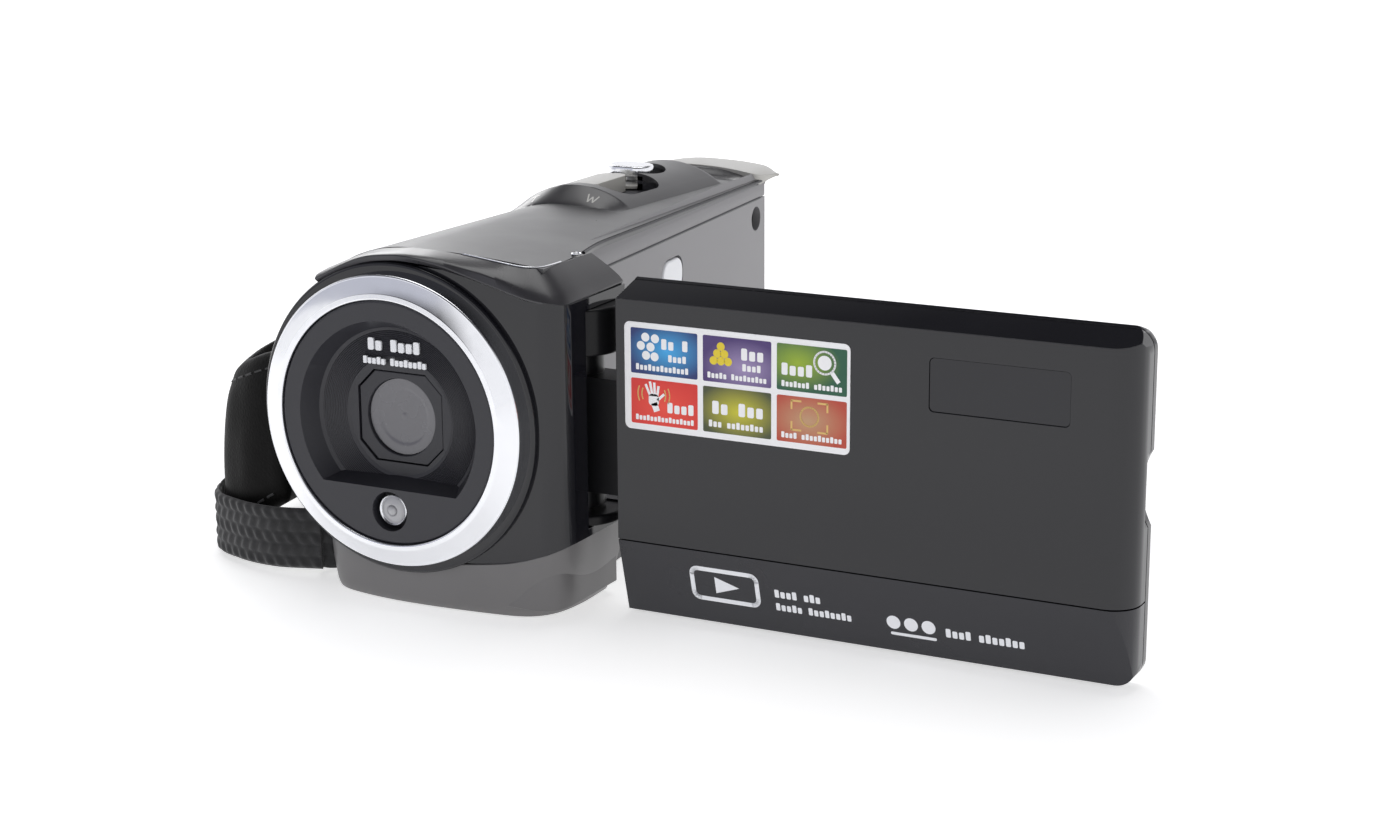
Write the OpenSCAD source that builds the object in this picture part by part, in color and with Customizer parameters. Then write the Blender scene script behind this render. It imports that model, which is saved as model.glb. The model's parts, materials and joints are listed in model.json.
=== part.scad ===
// Flip-screen camcorder with a hand strap.
// Millimetres, +Z up. The lens looks along -Y and the screen opens on the +X side.
// Shapes are drawn with y = 0 at the rim of the chrome ring and z = 0 at the base.
// placed() then moves y = 0 to the tripod socket, whose mouth is the part's origin.

/* [Body] */
// Height of the lens axis above the base
lens_z = 31.5; // [31:0.5:32]
// Radius of the round side of the body, about the lens axis
body_r = 26; // [25.8:0.1:26.2]
// How far the top stands above a round section
top_rise = 1; // [0.8:0.1:1.1]
// Angle at which the top falls towards the rear
top_fall = 1.2; // [1:0.1:1.4]
// Wall thickness of the casings
wall = 1.6; // [1.4:0.1:1.8]
// Distance of the rear panel's outer face behind the chrome ring
rear_y = 111.5; // [110:0.5:113]
// Distance of the front section's rear end behind the chrome ring
front_end_y = 24; // [23.5:0.5:24]
// Distance of the tripod socket behind the chrome ring
tripod_y = 52; // [50:1:54]
// Gap left where two casings meet
seam = 0.2; // [0.1:0.05:0.3]

/* [Lens] */
// Outer radius of the chrome ring
ring_r = 24; // [23.8:0.1:24.2]
// Inner radius of the chrome ring
ring_inner_r = 20.1; // [20:0.1:20.4]
// How far the ring's inner edge stands in front of its rim
ring_rise = 1.3; // [1:0.1:1.6]
// Radius of the glossy rim behind the chrome ring
rim_r = 25.7; // [25.6:0.1:25.8]
// Radius of the dish around the lens
dish_r = 16.5; // [16:0.1:17]
// Radius of the visible lens glass
glass_r = 6.3; // [6:0.1:6.5]

/* [Screen] */
// Length of the folding panel
panel_l = 85.4; // [84:0.2:86]
// Thickness of the folding panel
panel_t = 8; // [7.8:0.1:8.2]
// Height of the panel's outer face seam
panel_seam_z = 13.3; // [13:0.1:13.6]
// Top of the panel's outer face
panel_crease_z = 52.6; // [52:0.1:53]
// Top of the panel's inner face
panel_top_z = 54.7; // [54.2:0.1:55]
// Wall thickness of the panel's shells
panel_wall = 1.4; // [1.2:0.1:1.5]
// Angle between the side plate and the camcorder's axis
plate_angle = 4.7; // [4.6:0.1:4.8]
// Gap between the closed panel and the side plate
panel_gap = 0.5; // [0.4:0.1:0.6]

/* [Strap] */
// Thickness of the strap's pad
pad_t = 4.2; // [3.6:0.2:4.6]
// Thickness of the webbing
webbing_t = 1.5; // [1.2:0.1:1.6]
// Height of the webbing
webbing_h = 10.6; // [10:0.2:11]

/* [Controls] */
// Radius of the record button
record_r = 6; // [5.5:0.1:6.2]
// Clearance around each button
button_gap = 0.3; // [0.25:0.05:0.35]

/* [Hidden] */
$fn = 64;
far = 200;

anchor_front = [-20.2, 12];
anchor_rear = [-24.2, 100];
anchor_r = 1.3;

swing_pos = [25, 17.5];
swing_r = 4.2;
swing_pin_r = 1.5;
pin_clearance = 0.05;
notch_z = [16.7, 42.3];
block_z = [17, 42];
tilt_pos = [16.5, 29.5];
tilt_shaft_r = 1.6;

panel_x = 34.6;
panel_front_y = 12.5;
panel_back_y = panel_front_y + panel_t;
panel_end_x = panel_x + panel_l;
bezel_y = panel_back_y - panel_wall;
panel_bottom_z = 0.5;
plate_offset = panel_back_y - swing_pos[1] + panel_gap;

top_z = lens_z + body_r + top_rise;
deck_z = top_z - 1;
side_wall_x = 30;
cap_x = 24.2;
cap_z = 52.6;
chin_z = 13.2;
tray_z = 4;
top_seam_z = 54.8;
grip_seam_z = 49;

charcoal = [0.20, 0.20, 0.21];
gloss_black = [0.05, 0.05, 0.055];
matte_black = [0.12, 0.12, 0.13];
plate_grey = [0.58, 0.58, 0.59];
silver = [0.72, 0.71, 0.69];
chrome = [0.85, 0.86, 0.88];
board_green = [0.10, 0.32, 0.18];

// ---- placing and drawing helpers ----

module placed() {
    translate([0, -tripod_y, 0]) children();
}

// A 2D shape in x and z, extruded from y0 to y1
module along_y(y0, y1) {
    translate([0, y1, 0]) rotate([90, 0, 0]) linear_extrude(y1 - y0) children();
}

// A 2D shape in y and z, extruded from x0 to x1
module along_x(x0, x1) {
    translate([x0, 0, 0]) rotate([90, 0, 90]) linear_extrude(x1 - x0) children();
}

// A cylinder along Y at (x, z)
module y_rod(r, x, z, y0, y1) {
    along_y(y0, y1) translate([x, z]) circle(r);
}

// A cylinder along X at (y, z)
module x_rod(r, y, z, x0, x1) {
    along_x(x0, x1) translate([y, z]) circle(r);
}

module block(low, high) {
    translate(low) cube(high - low);
}

// A square with round corners, from its lowest to its highest corner
module round_square(low, high, r) {
    translate([low[0] + r, low[1]]) square([high[0] - low[0] - 2 * r, high[1] - low[1]]);
    translate([low[0], low[1] + r]) square([high[0] - low[0], high[1] - low[1] - 2 * r]);
    for (x = [low[0] + r, high[0] - r], y = [low[1] + r, high[1] - r])
        translate([x, y]) circle(r);
}

function arc(centre, r, from, to, steps) =
    [for (k = [0:steps]) let (a = from + (to - from) * k / steps)
        centre + r * [cos(a), sin(a)]];

// Smooth curve through hand-placed points
function spline_point(p, k, t) =
    let (
        a = p[max(k - 1, 0)],
        b = p[k],
        c = p[k + 1],
        d = p[min(k + 2, len(p) - 1)]
    )
    0.5 * (2 * b + (c - a) * t + (2 * a - 5 * b + 4 * c - d) * t * t
        + (3 * b - a - 3 * c + d) * t * t * t);
function spline(p, steps) = concat(
    [for (k = [0:len(p) - 2], s = [0:steps - 1]) spline_point(p, k, s / steps)],
    [p[len(p) - 1]]
);
function unit(v) = v / norm(v);
function path_normal(p, k) =
    let (t = unit(p[min(k + 1, len(p) - 1)] - p[max(k - 1, 0)]))
    unit([t[1], -t[0]]);

// ---- the plane of the side plate ----

// Draws in the plate's own frame: x = 0 on its outer face, y along it, from the hinge
module on_plate() {
    translate([swing_pos[0], swing_pos[1], 0]) rotate([0, 0, plate_angle])
        translate([-plate_offset, 0, 0]) children();
}

// Everything further in than the plate's outer face
module inside_plate(inset) {
    on_plate() block([-far, -far, -far], [-inset, far, far]);
}

// ---- cross-sections of the body, in x and z ----

function grip_side(inset) = concat(
    [for (a = [90:5:175])
        [(body_r - inset) * cos(a), lens_z + (body_r + top_rise - inset) * sin(a)]],
    arc([0, lens_z], body_r - inset, 180, 205, 5),
    [[-19.4 + inset, 3], [-16.4 + inset, inset]]
);

module rear_section(inset) {
    polygon(concat(grip_side(inset), [[40, inset], [40, top_z - 2.3 - inset]]));
}

module front_section(inset) {
    polygon(concat(grip_side(inset), [
        [25.6 - inset, inset],
        [side_wall_x - 0.4 - inset, chin_z],
        [side_wall_x - inset, chin_z + 0.4],
        [side_wall_x - inset, cap_z],
        [cap_x - inset, top_z - 1.3 - inset]
    ]));
}

// Outline of the front section seen from above
module front_plan(inset) {
    polygon(concat(
        [[-27, front_end_y + 1], [-27, 13 + inset], [-17, 6 + inset], [-7, 3 + inset]],
        arc([25.7, 7.3], 4.3 - inset, -90, 0, 8),
        [[30 - inset, front_end_y + 1]]
    ));
}

module front_block(inset) {
    intersection() {
        along_y(2, front_end_y + seam) front_section(inset);
        linear_extrude(far) front_plan(inset);
    }
}

// Everything below the top, which falls towards the rear
module below_top(inset) {
    translate([0, 20, top_z - inset]) rotate([-top_fall, 0, 0])
        block([-far, -far, -far], [far, far, 0]);
}

module rear_room(inset, y0, y1) {
    intersection() {
        along_y(y0, y1) rear_section(inset);
        inside_plate(inset);
        below_top(inset);
    }
}

// Open tube that the rear casings are cut from
module rear_skin() {
    difference() {
        rear_room(0, front_end_y + seam, rear_y);
        rear_room(wall, front_end_y - 1, rear_y + 1);
    }
}

// ---- front of the body ----

module hinge_notch() {
    block([20, panel_front_y, notch_z[0]], [31, front_end_y + 1, notch_z[1]]);
}

module swing_bore(r) {
    translate([swing_pos[0], swing_pos[1], notch_z[0] - 2.4])
        cylinder(r = r, h = notch_z[1] - notch_z[0] + 4.8);
}

// Line under the visor, from above the rim to the side wall
module under_cap() {
    polygon([[-40, -10], [40, -10], [40, 50.4], [side_wall_x, cap_z - seam],
        [9, top_z - 1.6], [0, top_z - seam], [-40, top_z - seam]]);
}

module front_shell() {
    color(gloss_black) placed() difference() {
        union() {
            y_rod(rim_r, 0, lens_z, 2, front_end_y);
            intersection() {
                front_block(0);
                along_y(0, far) under_cap();
                block([0, 0, chin_z + seam], [far, far, far]);
            }
        }
        y_rod(ring_r - 1, 0, lens_z, 1.9, 7);
        y_rod(rim_r - 2.2, 0, lens_z, 6.9, front_end_y + 1);
        hinge_notch();
        swing_bore(swing_pin_r + 0.02);
        top_cover_room();
    }
}

// Space taken by the top cover where it reaches over the front section
module top_cover_room() {
    block([-far, 7, top_z - 2 - seam], [cap_x + seam, far, far]);
}

module front_cap() {
    color(charcoal) placed() intersection() {
        along_y(2, front_end_y) difference() {
                union() {
                    translate([0, lens_z]) circle(body_r + 0.9);
                    polygon([[0, lens_z], [side_wall_x, cap_z], [cap_x, top_z - 1.3],
                        [0, top_z + 0.3]]);
                }
                under_cap();
                translate([0, lens_z]) circle(rim_r + 0.1);
            }
            union() {
                along_y(2, 7) square([200, 200], center = true);
                block([cap_x, 2, 0], [40, far, far]);
            }
            linear_extrude(far) front_plan(0);
            block([-22, 0, 44], [40, far, far]);
    }
}

// ---- lens group, all turned about the lens axis ----

// Turns an outline given as [radius, y] about the lens axis
module lens_turned() {
    translate([0, 0, lens_z]) rotate([-90, 0, 0]) rotate_extrude($fn = 96) children();
}

module chrome_ring() {
    color(chrome) placed() lens_turned() polygon([
        [ring_inner_r, -ring_rise], [ring_inner_r + 0.5, -ring_rise], [ring_r, 0],
        [ring_r, 1.9], [ring_inner_r, 1.9]
    ]);
}

dish_floor_y = 3.2;
dish_chord_z = 20.6;

module lens_bezel() {
    color(matte_black) placed() difference() {
        y_rod(ring_inner_r - 0.05, 0, lens_z, -0.9, 6);
        intersection() {
            lens_turned() polygon([[0, -2], [dish_r + 0.6, -2], [dish_r - 1.2, dish_floor_y],
                [0, dish_floor_y]]);
            translate([0, 0, dish_chord_z]) rotate([12, 0, 0])
                block([-30, -30, 0], [30, 30, 60]);
        }
        along_y(-2, 7) octagon(8, 7.6, 3.1);
        y_rod(3.3, 0, 16.8, -2, 2.2);
    }
}

module octagon(half_w, half_h, cut) {
    translate([0, lens_z]) polygon([
        [half_w, half_h - cut], [half_w - cut, half_h], [cut - half_w, half_h],
        [-half_w, half_h - cut], [-half_w, cut - half_h], [cut - half_w, -half_h],
        [half_w - cut, -half_h], [half_w, cut - half_h]
    ]);
}

module lens_frame() {
    color(matte_black) placed() difference() {
        along_y(3.4, 6) octagon(7.8, 7.4, 3);
        y_rod(glass_r + 0.1, 0, lens_z, 3, 7);
    }
}

module lens_window() {
    color([0.42, 0.43, 0.46]) placed() y_rod(glass_r, 0, lens_z, 4, 5.2);
}

module lens_barrel() {
    color(matte_black) placed() lens_turned()
        polygon([[5.9, 6.2], [8.4, 6.2], [8.4, 10], [10.5, 10], [10.5, 24], [5.9, 24]]);
}

module front_element() {
    color([0.5, 0.6, 0.7]) placed() lens_turned()
        polygon([[0, 9], [3, 9.2], [5.8, 10], [5.8, 11.6], [0, 12.4]]);
}

module rear_element() {
    color([0.5, 0.6, 0.7]) placed() lens_turned()
        polygon([[0, 17.2], [5.8, 16.4], [5.8, 18.6], [0, 19.4]]);
}

module image_sensor() {
    color([0.12, 0.15, 0.2]) placed() block([-4, 24.1, lens_z - 3.5], [4, 25.4, lens_z + 3.5]);
}

module sensor_board() {
    color(board_green) placed()
        block([-10, 25.5, lens_z - 9], [5, 26.5, lens_z + 9]);
}

module lamp_reflector() {
    color(chrome) placed() translate([0, 0, 16.8 - lens_z]) lens_turned() polygon([
        [1.2, 2.1], [3.2, 2.1], [3.2, -0.6], [2.8, -0.6], [1.2, 1.4]
    ]);
}

module lamp_lens() {
    color([0.9, 0.92, 0.95]) placed() translate([0, 0, 16.8 - lens_z]) lens_turned()
        polygon(concat(arc([0, 0.2], 1.1, -90, 0, 8), [[1.1, 2.1], [0, 2.1]]));
}

// ---- shells behind the front section ----

// The raised platform around the zoom lever
module hump(y0, y1) {
    intersection() {
        y_rod(body_r + 3.2, 0, lens_z, y0, y1);
        block([-12, y0, top_z - 3], [10.5, y1, far]);
        below_top(-2.2);
    }
}

lever_pivot = [-1, 84];

module top_cover() {
    color(charcoal) placed() difference() {
        union() {
            intersection() {
                rear_skin();
                union() {
                    block([-far, 0, grip_seam_z], [0, far, far]);
                    block([-0.1, 0, top_seam_z], [far, far, far]);
                }
                linear_extrude(far) difference() {
                    square([400, 400], center = true);
                    tail_plan(seam);
                }
                inside_plate(wall);
            }
            intersection() {
                along_y(7 + seam, front_end_y + seam) difference() {
                    polygon(concat(arc([0, lens_z], body_r + 0.9, 125, 90, 6),
                        [[cap_x - seam, top_z - 1.4], [cap_x - seam, top_z - 2]]));
                    translate([0, lens_z]) circle(rim_r + 0.1);
                }
                block([-far, 0, top_z - 2], [far, far, far]);
            }
            hump(58, 97);
        }
        // well of the zoom lever and pocket of the photo button
        translate([0, 0, deck_z - 0.4]) linear_extrude(10) {
            round_square([-11, 63], [9, 79], 4);
            translate(lever_pivot) circle(6.4);
        }
        translate([lever_pivot[0], lever_pivot[1], deck_z - 8]) cylinder(r = 1.3, h = 20);
        // thumb dish ahead of the tail
        translate([3, 104, top_z + 15.4]) sphere(r = 18.2);
    }
}

module grip_shell() {
    color(charcoal) placed() difference() {
        intersection() {
            rear_skin();
            block([-far, 0, tray_z + seam], [-8, far, grip_seam_z - seam]);
        }
        translate([anchor_rear[0], anchor_rear[1], 13.9])
            cylinder(r = anchor_r + pin_clearance, h = 18.2);
    }
}

door_x = [-16, 3];
door_y = [60, 106];
screw_spots = [[-10, 32], [14, 32], [10, 100], [6, 12]];

module screw_holes() {
    for (p = screw_spots) translate([p[0], p[1], -1]) {
        cylinder(r = 1.7, h = 2.5);
        cylinder(r = 0.9, h = 20);
    }
}

// Cover under the front section, with the pocket of the strap's front anchor
module chin_cover() {
    color(charcoal) placed() difference() {
        intersection() {
            front_block(0);
            block([-far, 0, -1], [far, front_end_y, chin_z]);
        }
        intersection() {
            front_block(wall);
            block([-far, 0, -1], [far, front_end_y - wall, far]);
        }
        y_rod(rim_r + 0.1, 0, lens_z, 0, front_end_y + 1);
        screw_holes();
        translate([anchor_front[0], anchor_front[1], 1.4]) cylinder(r = 4.4, h = 20);
        block([-40, 2, 1.4], [anchor_front[0], anchor_front[1] + 4.4, 20]);
    }
}

module lower_cover() {
    color(charcoal) placed() difference() {
        intersection() {
            union() {
                rear_skin();
                translate([0, tripod_y, 0]) cylinder(r = 8, h = tray_z);
            }
            block([-far, 0, -1], [far, far, tray_z]);
        }
        block([door_x[0] - 0.4, door_y[0] - 0.4, -1], [door_x[1] + 0.4, far, tray_z + 1]);
        translate([0, tripod_y, -1]) cylinder(r = 4.6, h = 20);
        screw_holes();
    }
}

// y positions on the side plate are measured along it from the hinge
plate_start = 7.2;
plate_end = 93.2;
facet_z = 54.5;
facet_lean = 28;
latch_at = [88.6, 48.3];
power_at = [47.5, 45];
button_spots = [["menu", 44, 35], ["play", 58, 35], ["up", 44, 26], ["down", 58, 26]];

module power_outline(grow) {
    round_square([power_at[0] - 4.5 - grow, power_at[1] - 3 - grow],
        [power_at[0] + 4.5 + grow, power_at[1] + 3 + grow], 2.6);
}

module small_outline(y, z, grow) {
    round_square([y - 3.4 - grow, z - 2.2 - grow], [y + 3.4 + grow, z + 2.2 + grow], 1.8);
}

module side_plate() {
    color(plate_grey) placed() on_plate() difference() {
        block([-wall, plate_start, tray_z + seam], [0, plate_end, 51.9]);
        along_x(-5, 1) {
            power_outline(button_gap);
            for (b = button_spots) small_outline(b[1], b[2], button_gap);
            translate(latch_at) circle(2.3);
            for (k = [0:4]) round_square([72, 12 + k * 2.6], [86, 13.2 + k * 2.6], 0.55);
        }
    }
}

// Strip above the plate, with a sloping facet that meets the top cover
module side_strip() {
    color(silver) placed() difference() {
        intersection() {
            rear_room(0, 0, rear_y);
            on_plate() block([seam - wall, plate_start, 52.1], [0, plate_end, far]);
        }
        on_plate() translate([0, 0, facet_z]) rotate([0, -facet_lean, 0])
            block([0, 0, -1], [9, far, 9]);
        translate([0, 0, top_seam_z - seam]) linear_extrude(far) tail_plan(seam);
    }
}

// Outer face of the rear panel, which sits inside the casings' rims
port_y = rear_y - 1;

module rear_panel() {
    color(charcoal) placed() difference() {
        intersection() {
            rear_room(wall + seam, rear_y - 1 - wall, rear_y - 1);
            block([-far, 0, 2.4], [far, far, far]);
        }
        y_rod(record_r + button_gap, -10, 35, 100, 120);
        y_rod(3.3 + button_gap, 6, 44, 100, 120);
        y_rod(1.05, 3, 35, 100, 120);
        along_y(port_y - 1.2, rear_y + 1) square_port(0.3);
        along_y(port_y - 5, rear_y + 1) port_holes(0.2);
    }
}

module square_port(grow) {
    round_square([0 - grow, 8 - grow], [9 + grow, 30 + grow], 1.2);
}

// Mouths of the two sockets, in x and z
module port_holes(grow) {
    round_square([2.6 - grow, 12 - grow], [6.4 + grow, 19.6 + grow], 0.5);
    translate([4.5, 25]) circle(2.6 + grow);
}

// Crescent seen from above
module tail_plan(grow) {
    difference() {
        translate([-5, 81]) circle(38 + grow, $fn = 96);
        translate([-4, 60]) circle(50 - grow, $fn = 96);
        translate([-60, -50]) square([150, 155]);
    }
}

module tail_band() {
    color(silver) placed() intersection() {
        difference() {
            rear_room(0, 100, 122);
            rear_room(wall, 99, 123);
        }
        linear_extrude(far) tail_plan(0);
        block([-far, 0, top_seam_z], [far, far, far]);
    }
}

// ---- inside the body ----

battery_low = [-14, 62, 3];
battery_high = [-6, 98, 43];

module main_board() {
    color(board_green) placed() block([8, 34, 7], [9.2, 106, 52]);
}

module main_chip() {
    color([0.1, 0.1, 0.1]) placed() {
        block([6.8, 44, 24], [7.9, 58, 38]);
        block([6.8, 66, 28], [7.9, 76, 38]);
    }
}

module battery() {
    color([0.25, 0.35, 0.6]) placed() block(battery_low, battery_high);
}

module battery_bay() {
    color(matte_black) placed() difference() {
        block(battery_low - [1.3, 1.3, -1.2], battery_high + [1.3, 1.3, 3.4]);
        block(battery_low - [0.3, 0.3, 1], battery_high + [0.3, 0.3, 2.2]);
    }
}

module battery_contacts() {
    color([0.85, 0.7, 0.35]) placed() for (y = [70, 80, 90])
        block([-11.5, y - 1.5, battery_high[2]], [-8.5, y + 1.5, battery_high[2] + 2.1]);
}

module battery_door() {
    color(charcoal) placed() block([door_x[0], door_y[0], 0.3], [door_x[1], door_y[1], 1.9]);
}

module card_socket() {
    color(silver) placed() difference() {
        block([-1.4, 66, 6], [1.9, 92, 30]);
        block([-1, 66.6, 5], [1.5, 91.4, 29.4]);
    }
}

module memory_card() {
    color([0.15, 0.2, 0.45]) placed() difference() {
        block([-0.8, 67, 3], [1.3, 91, 29.2]);
        translate([-2, 67, 29.2]) rotate([45, 0, 0]) cube([5, 5, 5], center = true);
    }
}

module speaker() {
    color([0.3, 0.3, 0.32]) placed() on_plate() x_rod(7.4, 79, 18.2, -5.2, -wall - 0.1);
}

module usb_socket() {
    color(silver) placed() difference() {
        along_y(port_y - 8, port_y - wall - 0.1)
            round_square([2.4, 11.8], [6.6, 19.8], 0.5);
        along_y(port_y - 6.5, port_y) round_square([2.8, 12.2], [6.2, 19.4], 0.4);
    }
}

module av_socket() {
    color(matte_black) placed() difference() {
        along_y(port_y - 8, port_y - wall - 0.1) translate([4.5, 25]) circle(3);
        along_y(port_y - 6.5, port_y) translate([4.5, 25]) circle(1.8);
    }
}

module port_cover() {
    color(matte_black) placed() union() {
        along_y(port_y - 0.9, port_y + 0.2) square_port(0);
        translate([8.3, port_y + 0.2, 10]) cylinder(r = 0.9, h = 18);
    }
}

module tripod_bush() {
    color([0.75, 0.62, 0.35]) placed() difference() {
        translate([0, tripod_y, 0]) cylinder(r = 4.6, h = 8);
        translate([0, tripod_y, -1]) cylinder(r = 3.25, h = 7);
    }
}

module case_screws() {
    color([0.6, 0.6, 0.62]) placed() for (p = screw_spots) translate([p[0], p[1], 0]) {
        difference() {
            translate([0, 0, 0.5]) cylinder(r = 1.6, h = 1);
            translate([-0.9, -0.2, 0]) cube([1.8, 0.4, 0.9]);
            translate([-0.2, -0.9, 0]) cube([0.4, 1.8, 0.9]);
        }
        translate([0, 0, 1.5]) cylinder(r = 0.8, h = 3.5);
    }
}

// ---- controls ----

module zoom_lever() {
    color(charcoal) placed() intersection() {
        y_rod(body_r + 2.7, 0, lens_z, 50, 100);
        translate([0, 0, deck_z - 0.3]) union() {
            translate(lever_pivot) difference() {
                cylinder(r = 5.9, h = 0.6);
                translate([0, 0, -1]) cylinder(r = 1.3, h = 4);
            }
            linear_extrude(5) round_square([-4, 64.6], [2, 77.6], 1.8);
            block([-2.5, 76, 0], [0.5, 80, 0.6]);
        }
    }
}

module photo_button() {
    color(chrome) placed() translate([lever_pivot[0], lever_pivot[1], deck_z]) {
        translate([0, 0, 1.4]) linear_extrude(2) round_square([-4.3, -3], [4.3, 3], 2.9);
        translate([0, 0, -2.4]) cylinder(r = 0.9, h = 4);
    }
}

module record_button() {
    color([0.55, 0.1, 0.1]) placed() y_rod(record_r, -10, 35, port_y - 2.6, port_y + 1.2);
}

module mode_button() {
    color(silver) placed() y_rod(3.3, 6, 44, port_y - 2.6, port_y + 0.8);
}

module status_lamp() {
    color([0.2, 0.7, 0.3]) placed() y_rod(1, 3, 35, port_y - 2, port_y + 0.1);
}

module side_button(y, z) {
    placed() on_plate() along_x(-2.4, 0.2) small_outline(y, z, 0);
}

module power_button() {
    color(chrome) placed() on_plate() along_x(-2.4, 0.2) power_outline(0);
}

module menu_button() {
    color(charcoal) side_button(button_spots[0][1], button_spots[0][2]);
}

module play_button() {
    color(charcoal) side_button(button_spots[1][1], button_spots[1][2]);
}

module up_button() {
    color(charcoal) side_button(button_spots[2][1], button_spots[2][2]);
}

module down_button() {
    color(charcoal) side_button(button_spots[3][1], button_spots[3][2]);
}

// ---- folding screen ----

module hinge_pin() {
    color(silver) placed() swing_bore(swing_pin_r);
}

module hinge_block() {
    color(matte_black) placed() difference() {
        union() {
            translate([swing_pos[0], swing_pos[1], block_z[0]])
                cylinder(r = swing_r, h = block_z[1] - block_z[0]);
            block([swing_pos[0], 13.6, 20], [34.3, 20.4, 39]);
        }
        swing_bore(swing_pin_r + pin_clearance);
        x_rod(tilt_shaft_r + 0.02, tilt_pos[0], tilt_pos[1], 28.4, 40);
    }
}

module tilt_shaft() {
    color(silver) placed() x_rod(tilt_shaft_r, tilt_pos[0], tilt_pos[1], 28.6, 46);
}

module tilt_bushing() {
    color(silver) placed() difference() {
        x_rod(2.5, tilt_pos[0], tilt_pos[1], 37, 45);
        x_rod(tilt_shaft_r + pin_clearance, tilt_pos[0], tilt_pos[1], 36, 46);
    }
}

// The whole panel's outer form, shrunk by an inset
module panel_solid(inset) {
    intersection() {
        along_x(panel_x + inset, panel_end_x - inset) polygon([
            [panel_front_y + inset, panel_seam_z], [panel_front_y + inset, panel_crease_z - inset / 2],
            [panel_back_y - 0.6, panel_top_z - inset], [panel_back_y, panel_top_z - 0.6 - inset],
            [panel_back_y, panel_bottom_z + 0.6 + inset],
            [panel_back_y - 0.6, panel_bottom_z + inset],
            [panel_front_y + 3.4 + inset / 2, panel_bottom_z + inset]
        ]);
        linear_extrude(far) {
            translate([panel_x + inset, panel_front_y + inset])
                square([panel_l - 4.6 - 2 * inset, 30]);
            translate([panel_x + inset, panel_front_y + 4.6])
                square([panel_l - 2 * inset, 30]);
            translate([panel_end_x - 4.6, panel_front_y + 4.6]) circle(4.6 - inset);
        }
        along_y(0, 40) round_square([panel_x + inset - 5, panel_bottom_z + inset],
            [panel_end_x - inset, panel_top_z - inset], 3.4 - inset);
    }
}

module finger_notch() {
    y_rod(12, panel_end_x + 10.5, 30.5, 17.4, panel_back_y + 1);
}

module panel_hollow() {
    difference() {
        panel_solid(0);
        intersection() {
            panel_solid(panel_wall);
            block([0, 0, 0], [far, bezel_y, far]);
        }
        x_rod(2.9, tilt_pos[0], tilt_pos[1], panel_x - 1, panel_x + 3);
        finger_notch();
        block([0, bezel_y - seam, -1], [far, far, far]);
    }
}

nameplate_low = [87.6, 40.2];
nameplate_high = [109.7, 48.5];

module lcd_cover() {
    color(gloss_black) placed() difference() {
        panel_hollow();
        block([0, 0, -1], [far, far, panel_seam_z]);
        along_y(panel_front_y - 1, panel_front_y + 0.5)
            round_square(nameplate_low, nameplate_high, 0.8);
    }
}

module lcd_lower_strip() {
    color(charcoal) placed() intersection() {
        panel_hollow();
        block([0, 0, -1], [far, far, panel_seam_z - seam]);
    }
}

screen_low = [50, 9.5];
screen_high = [112, 48.5];

module lcd_bezel() {
    color(gloss_black) placed() difference() {
        union() {
            intersection() {
                panel_solid(0);
                block([0, bezel_y, -1], [far, far, far]);
            }
            y_rod(1.2, swing_pos[0] + latch_at[0], latch_at[1], bezel_y, panel_back_y + 1.4);
        }
        finger_notch();
        along_y(bezel_y - 1, far) round_square(screen_low, screen_high, 1);
    }
}

module lcd_glass() {
    color([0.08, 0.09, 0.11]) placed() along_y(bezel_y, panel_back_y - 0.3)
        round_square(screen_low + [0.05, 0.05], screen_high - [0.05, 0.05], 1);
}

module lcd_module() {
    color([0.16, 0.17, 0.2]) placed()
        block([screen_low[0] + 1, 16.6, screen_low[1] + 1],
            [screen_high[0] - 1, bezel_y - 0.1, screen_high[1] - 1]);
}

module lcd_board() {
    color(board_green) placed() block([52, 15, 12], [108, 16, 44]);
}

module sticker() {
    color([0.9, 0.9, 0.92]) placed() along_y(panel_front_y - 0.15, panel_front_y)
        round_square([panel_x + 1.65, 31.9], [panel_x + 40.3, 49.2], 0.9);
}

module nameplate() {
    color(matte_black) placed() along_y(panel_front_y + 0.2, panel_front_y + 0.5)
        round_square(nameplate_low + [0.05, 0.05], nameplate_high - [0.05, 0.05], 0.8);
}

// ---- hand strap ----

// Route of the pad's outer face seen from above, front to rear
pad_route = [[-28.2, 9], [-38, 10.5], [-45, 15.5], [-48, 27], [-49.5, 45], [-49.5, 62],
    [-47, 80], [-40.5, 92.5], [-31, 97.5]];
// Heights of the pad's top and bottom edges at those points
pad_tops = [38.5, 35.5, 33, 34, 36, 37, 37, 35, 32];
pad_bottoms = [12, 6, 3, 2.5, 3, 4, 6, 9, 14];

function heights(values, steps) =
    [for (v = spline([for (z = values) [z, 0]], steps)) v[0]];

// A band that stands on edge and follows a route. lean pulls its top edge inwards.
module band(route, bottoms, tops, thickness, lean, rows) {
    n = len(route);
    function face(k, depth) = [for (r = [0:rows])
        let (
            t = r / rows,
            p = route[k] + path_normal(route, k) * (depth + lean * pow(max(t - 0.3, 0) / 0.7, 2))
        )
        [p[0], p[1], bottoms[k] + (tops[k] - bottoms[k]) * t]];
    function ring(k) =
        let (outer = face(k, 0), inner = face(k, thickness))
        concat(outer, [for (r = [rows:-1:0]) inner[r]]);
    m = 2 * (rows + 1);
    points = [for (k = [0:n - 1]) for (p = ring(k)) p];
    faces = concat(
        [[for (j = [0:m - 1]) j]],
        [for (k = [0:n - 2], j = [0:m - 1]) let (a = k * m + j, b = k * m + (j + 1) % m)
            [a, a + m, b + m, b]],
        [[for (j = [m - 1:-1:0]) (n - 1) * m + j]]
    );
    polyhedron(points, faces, convexity = 6);
}

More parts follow.
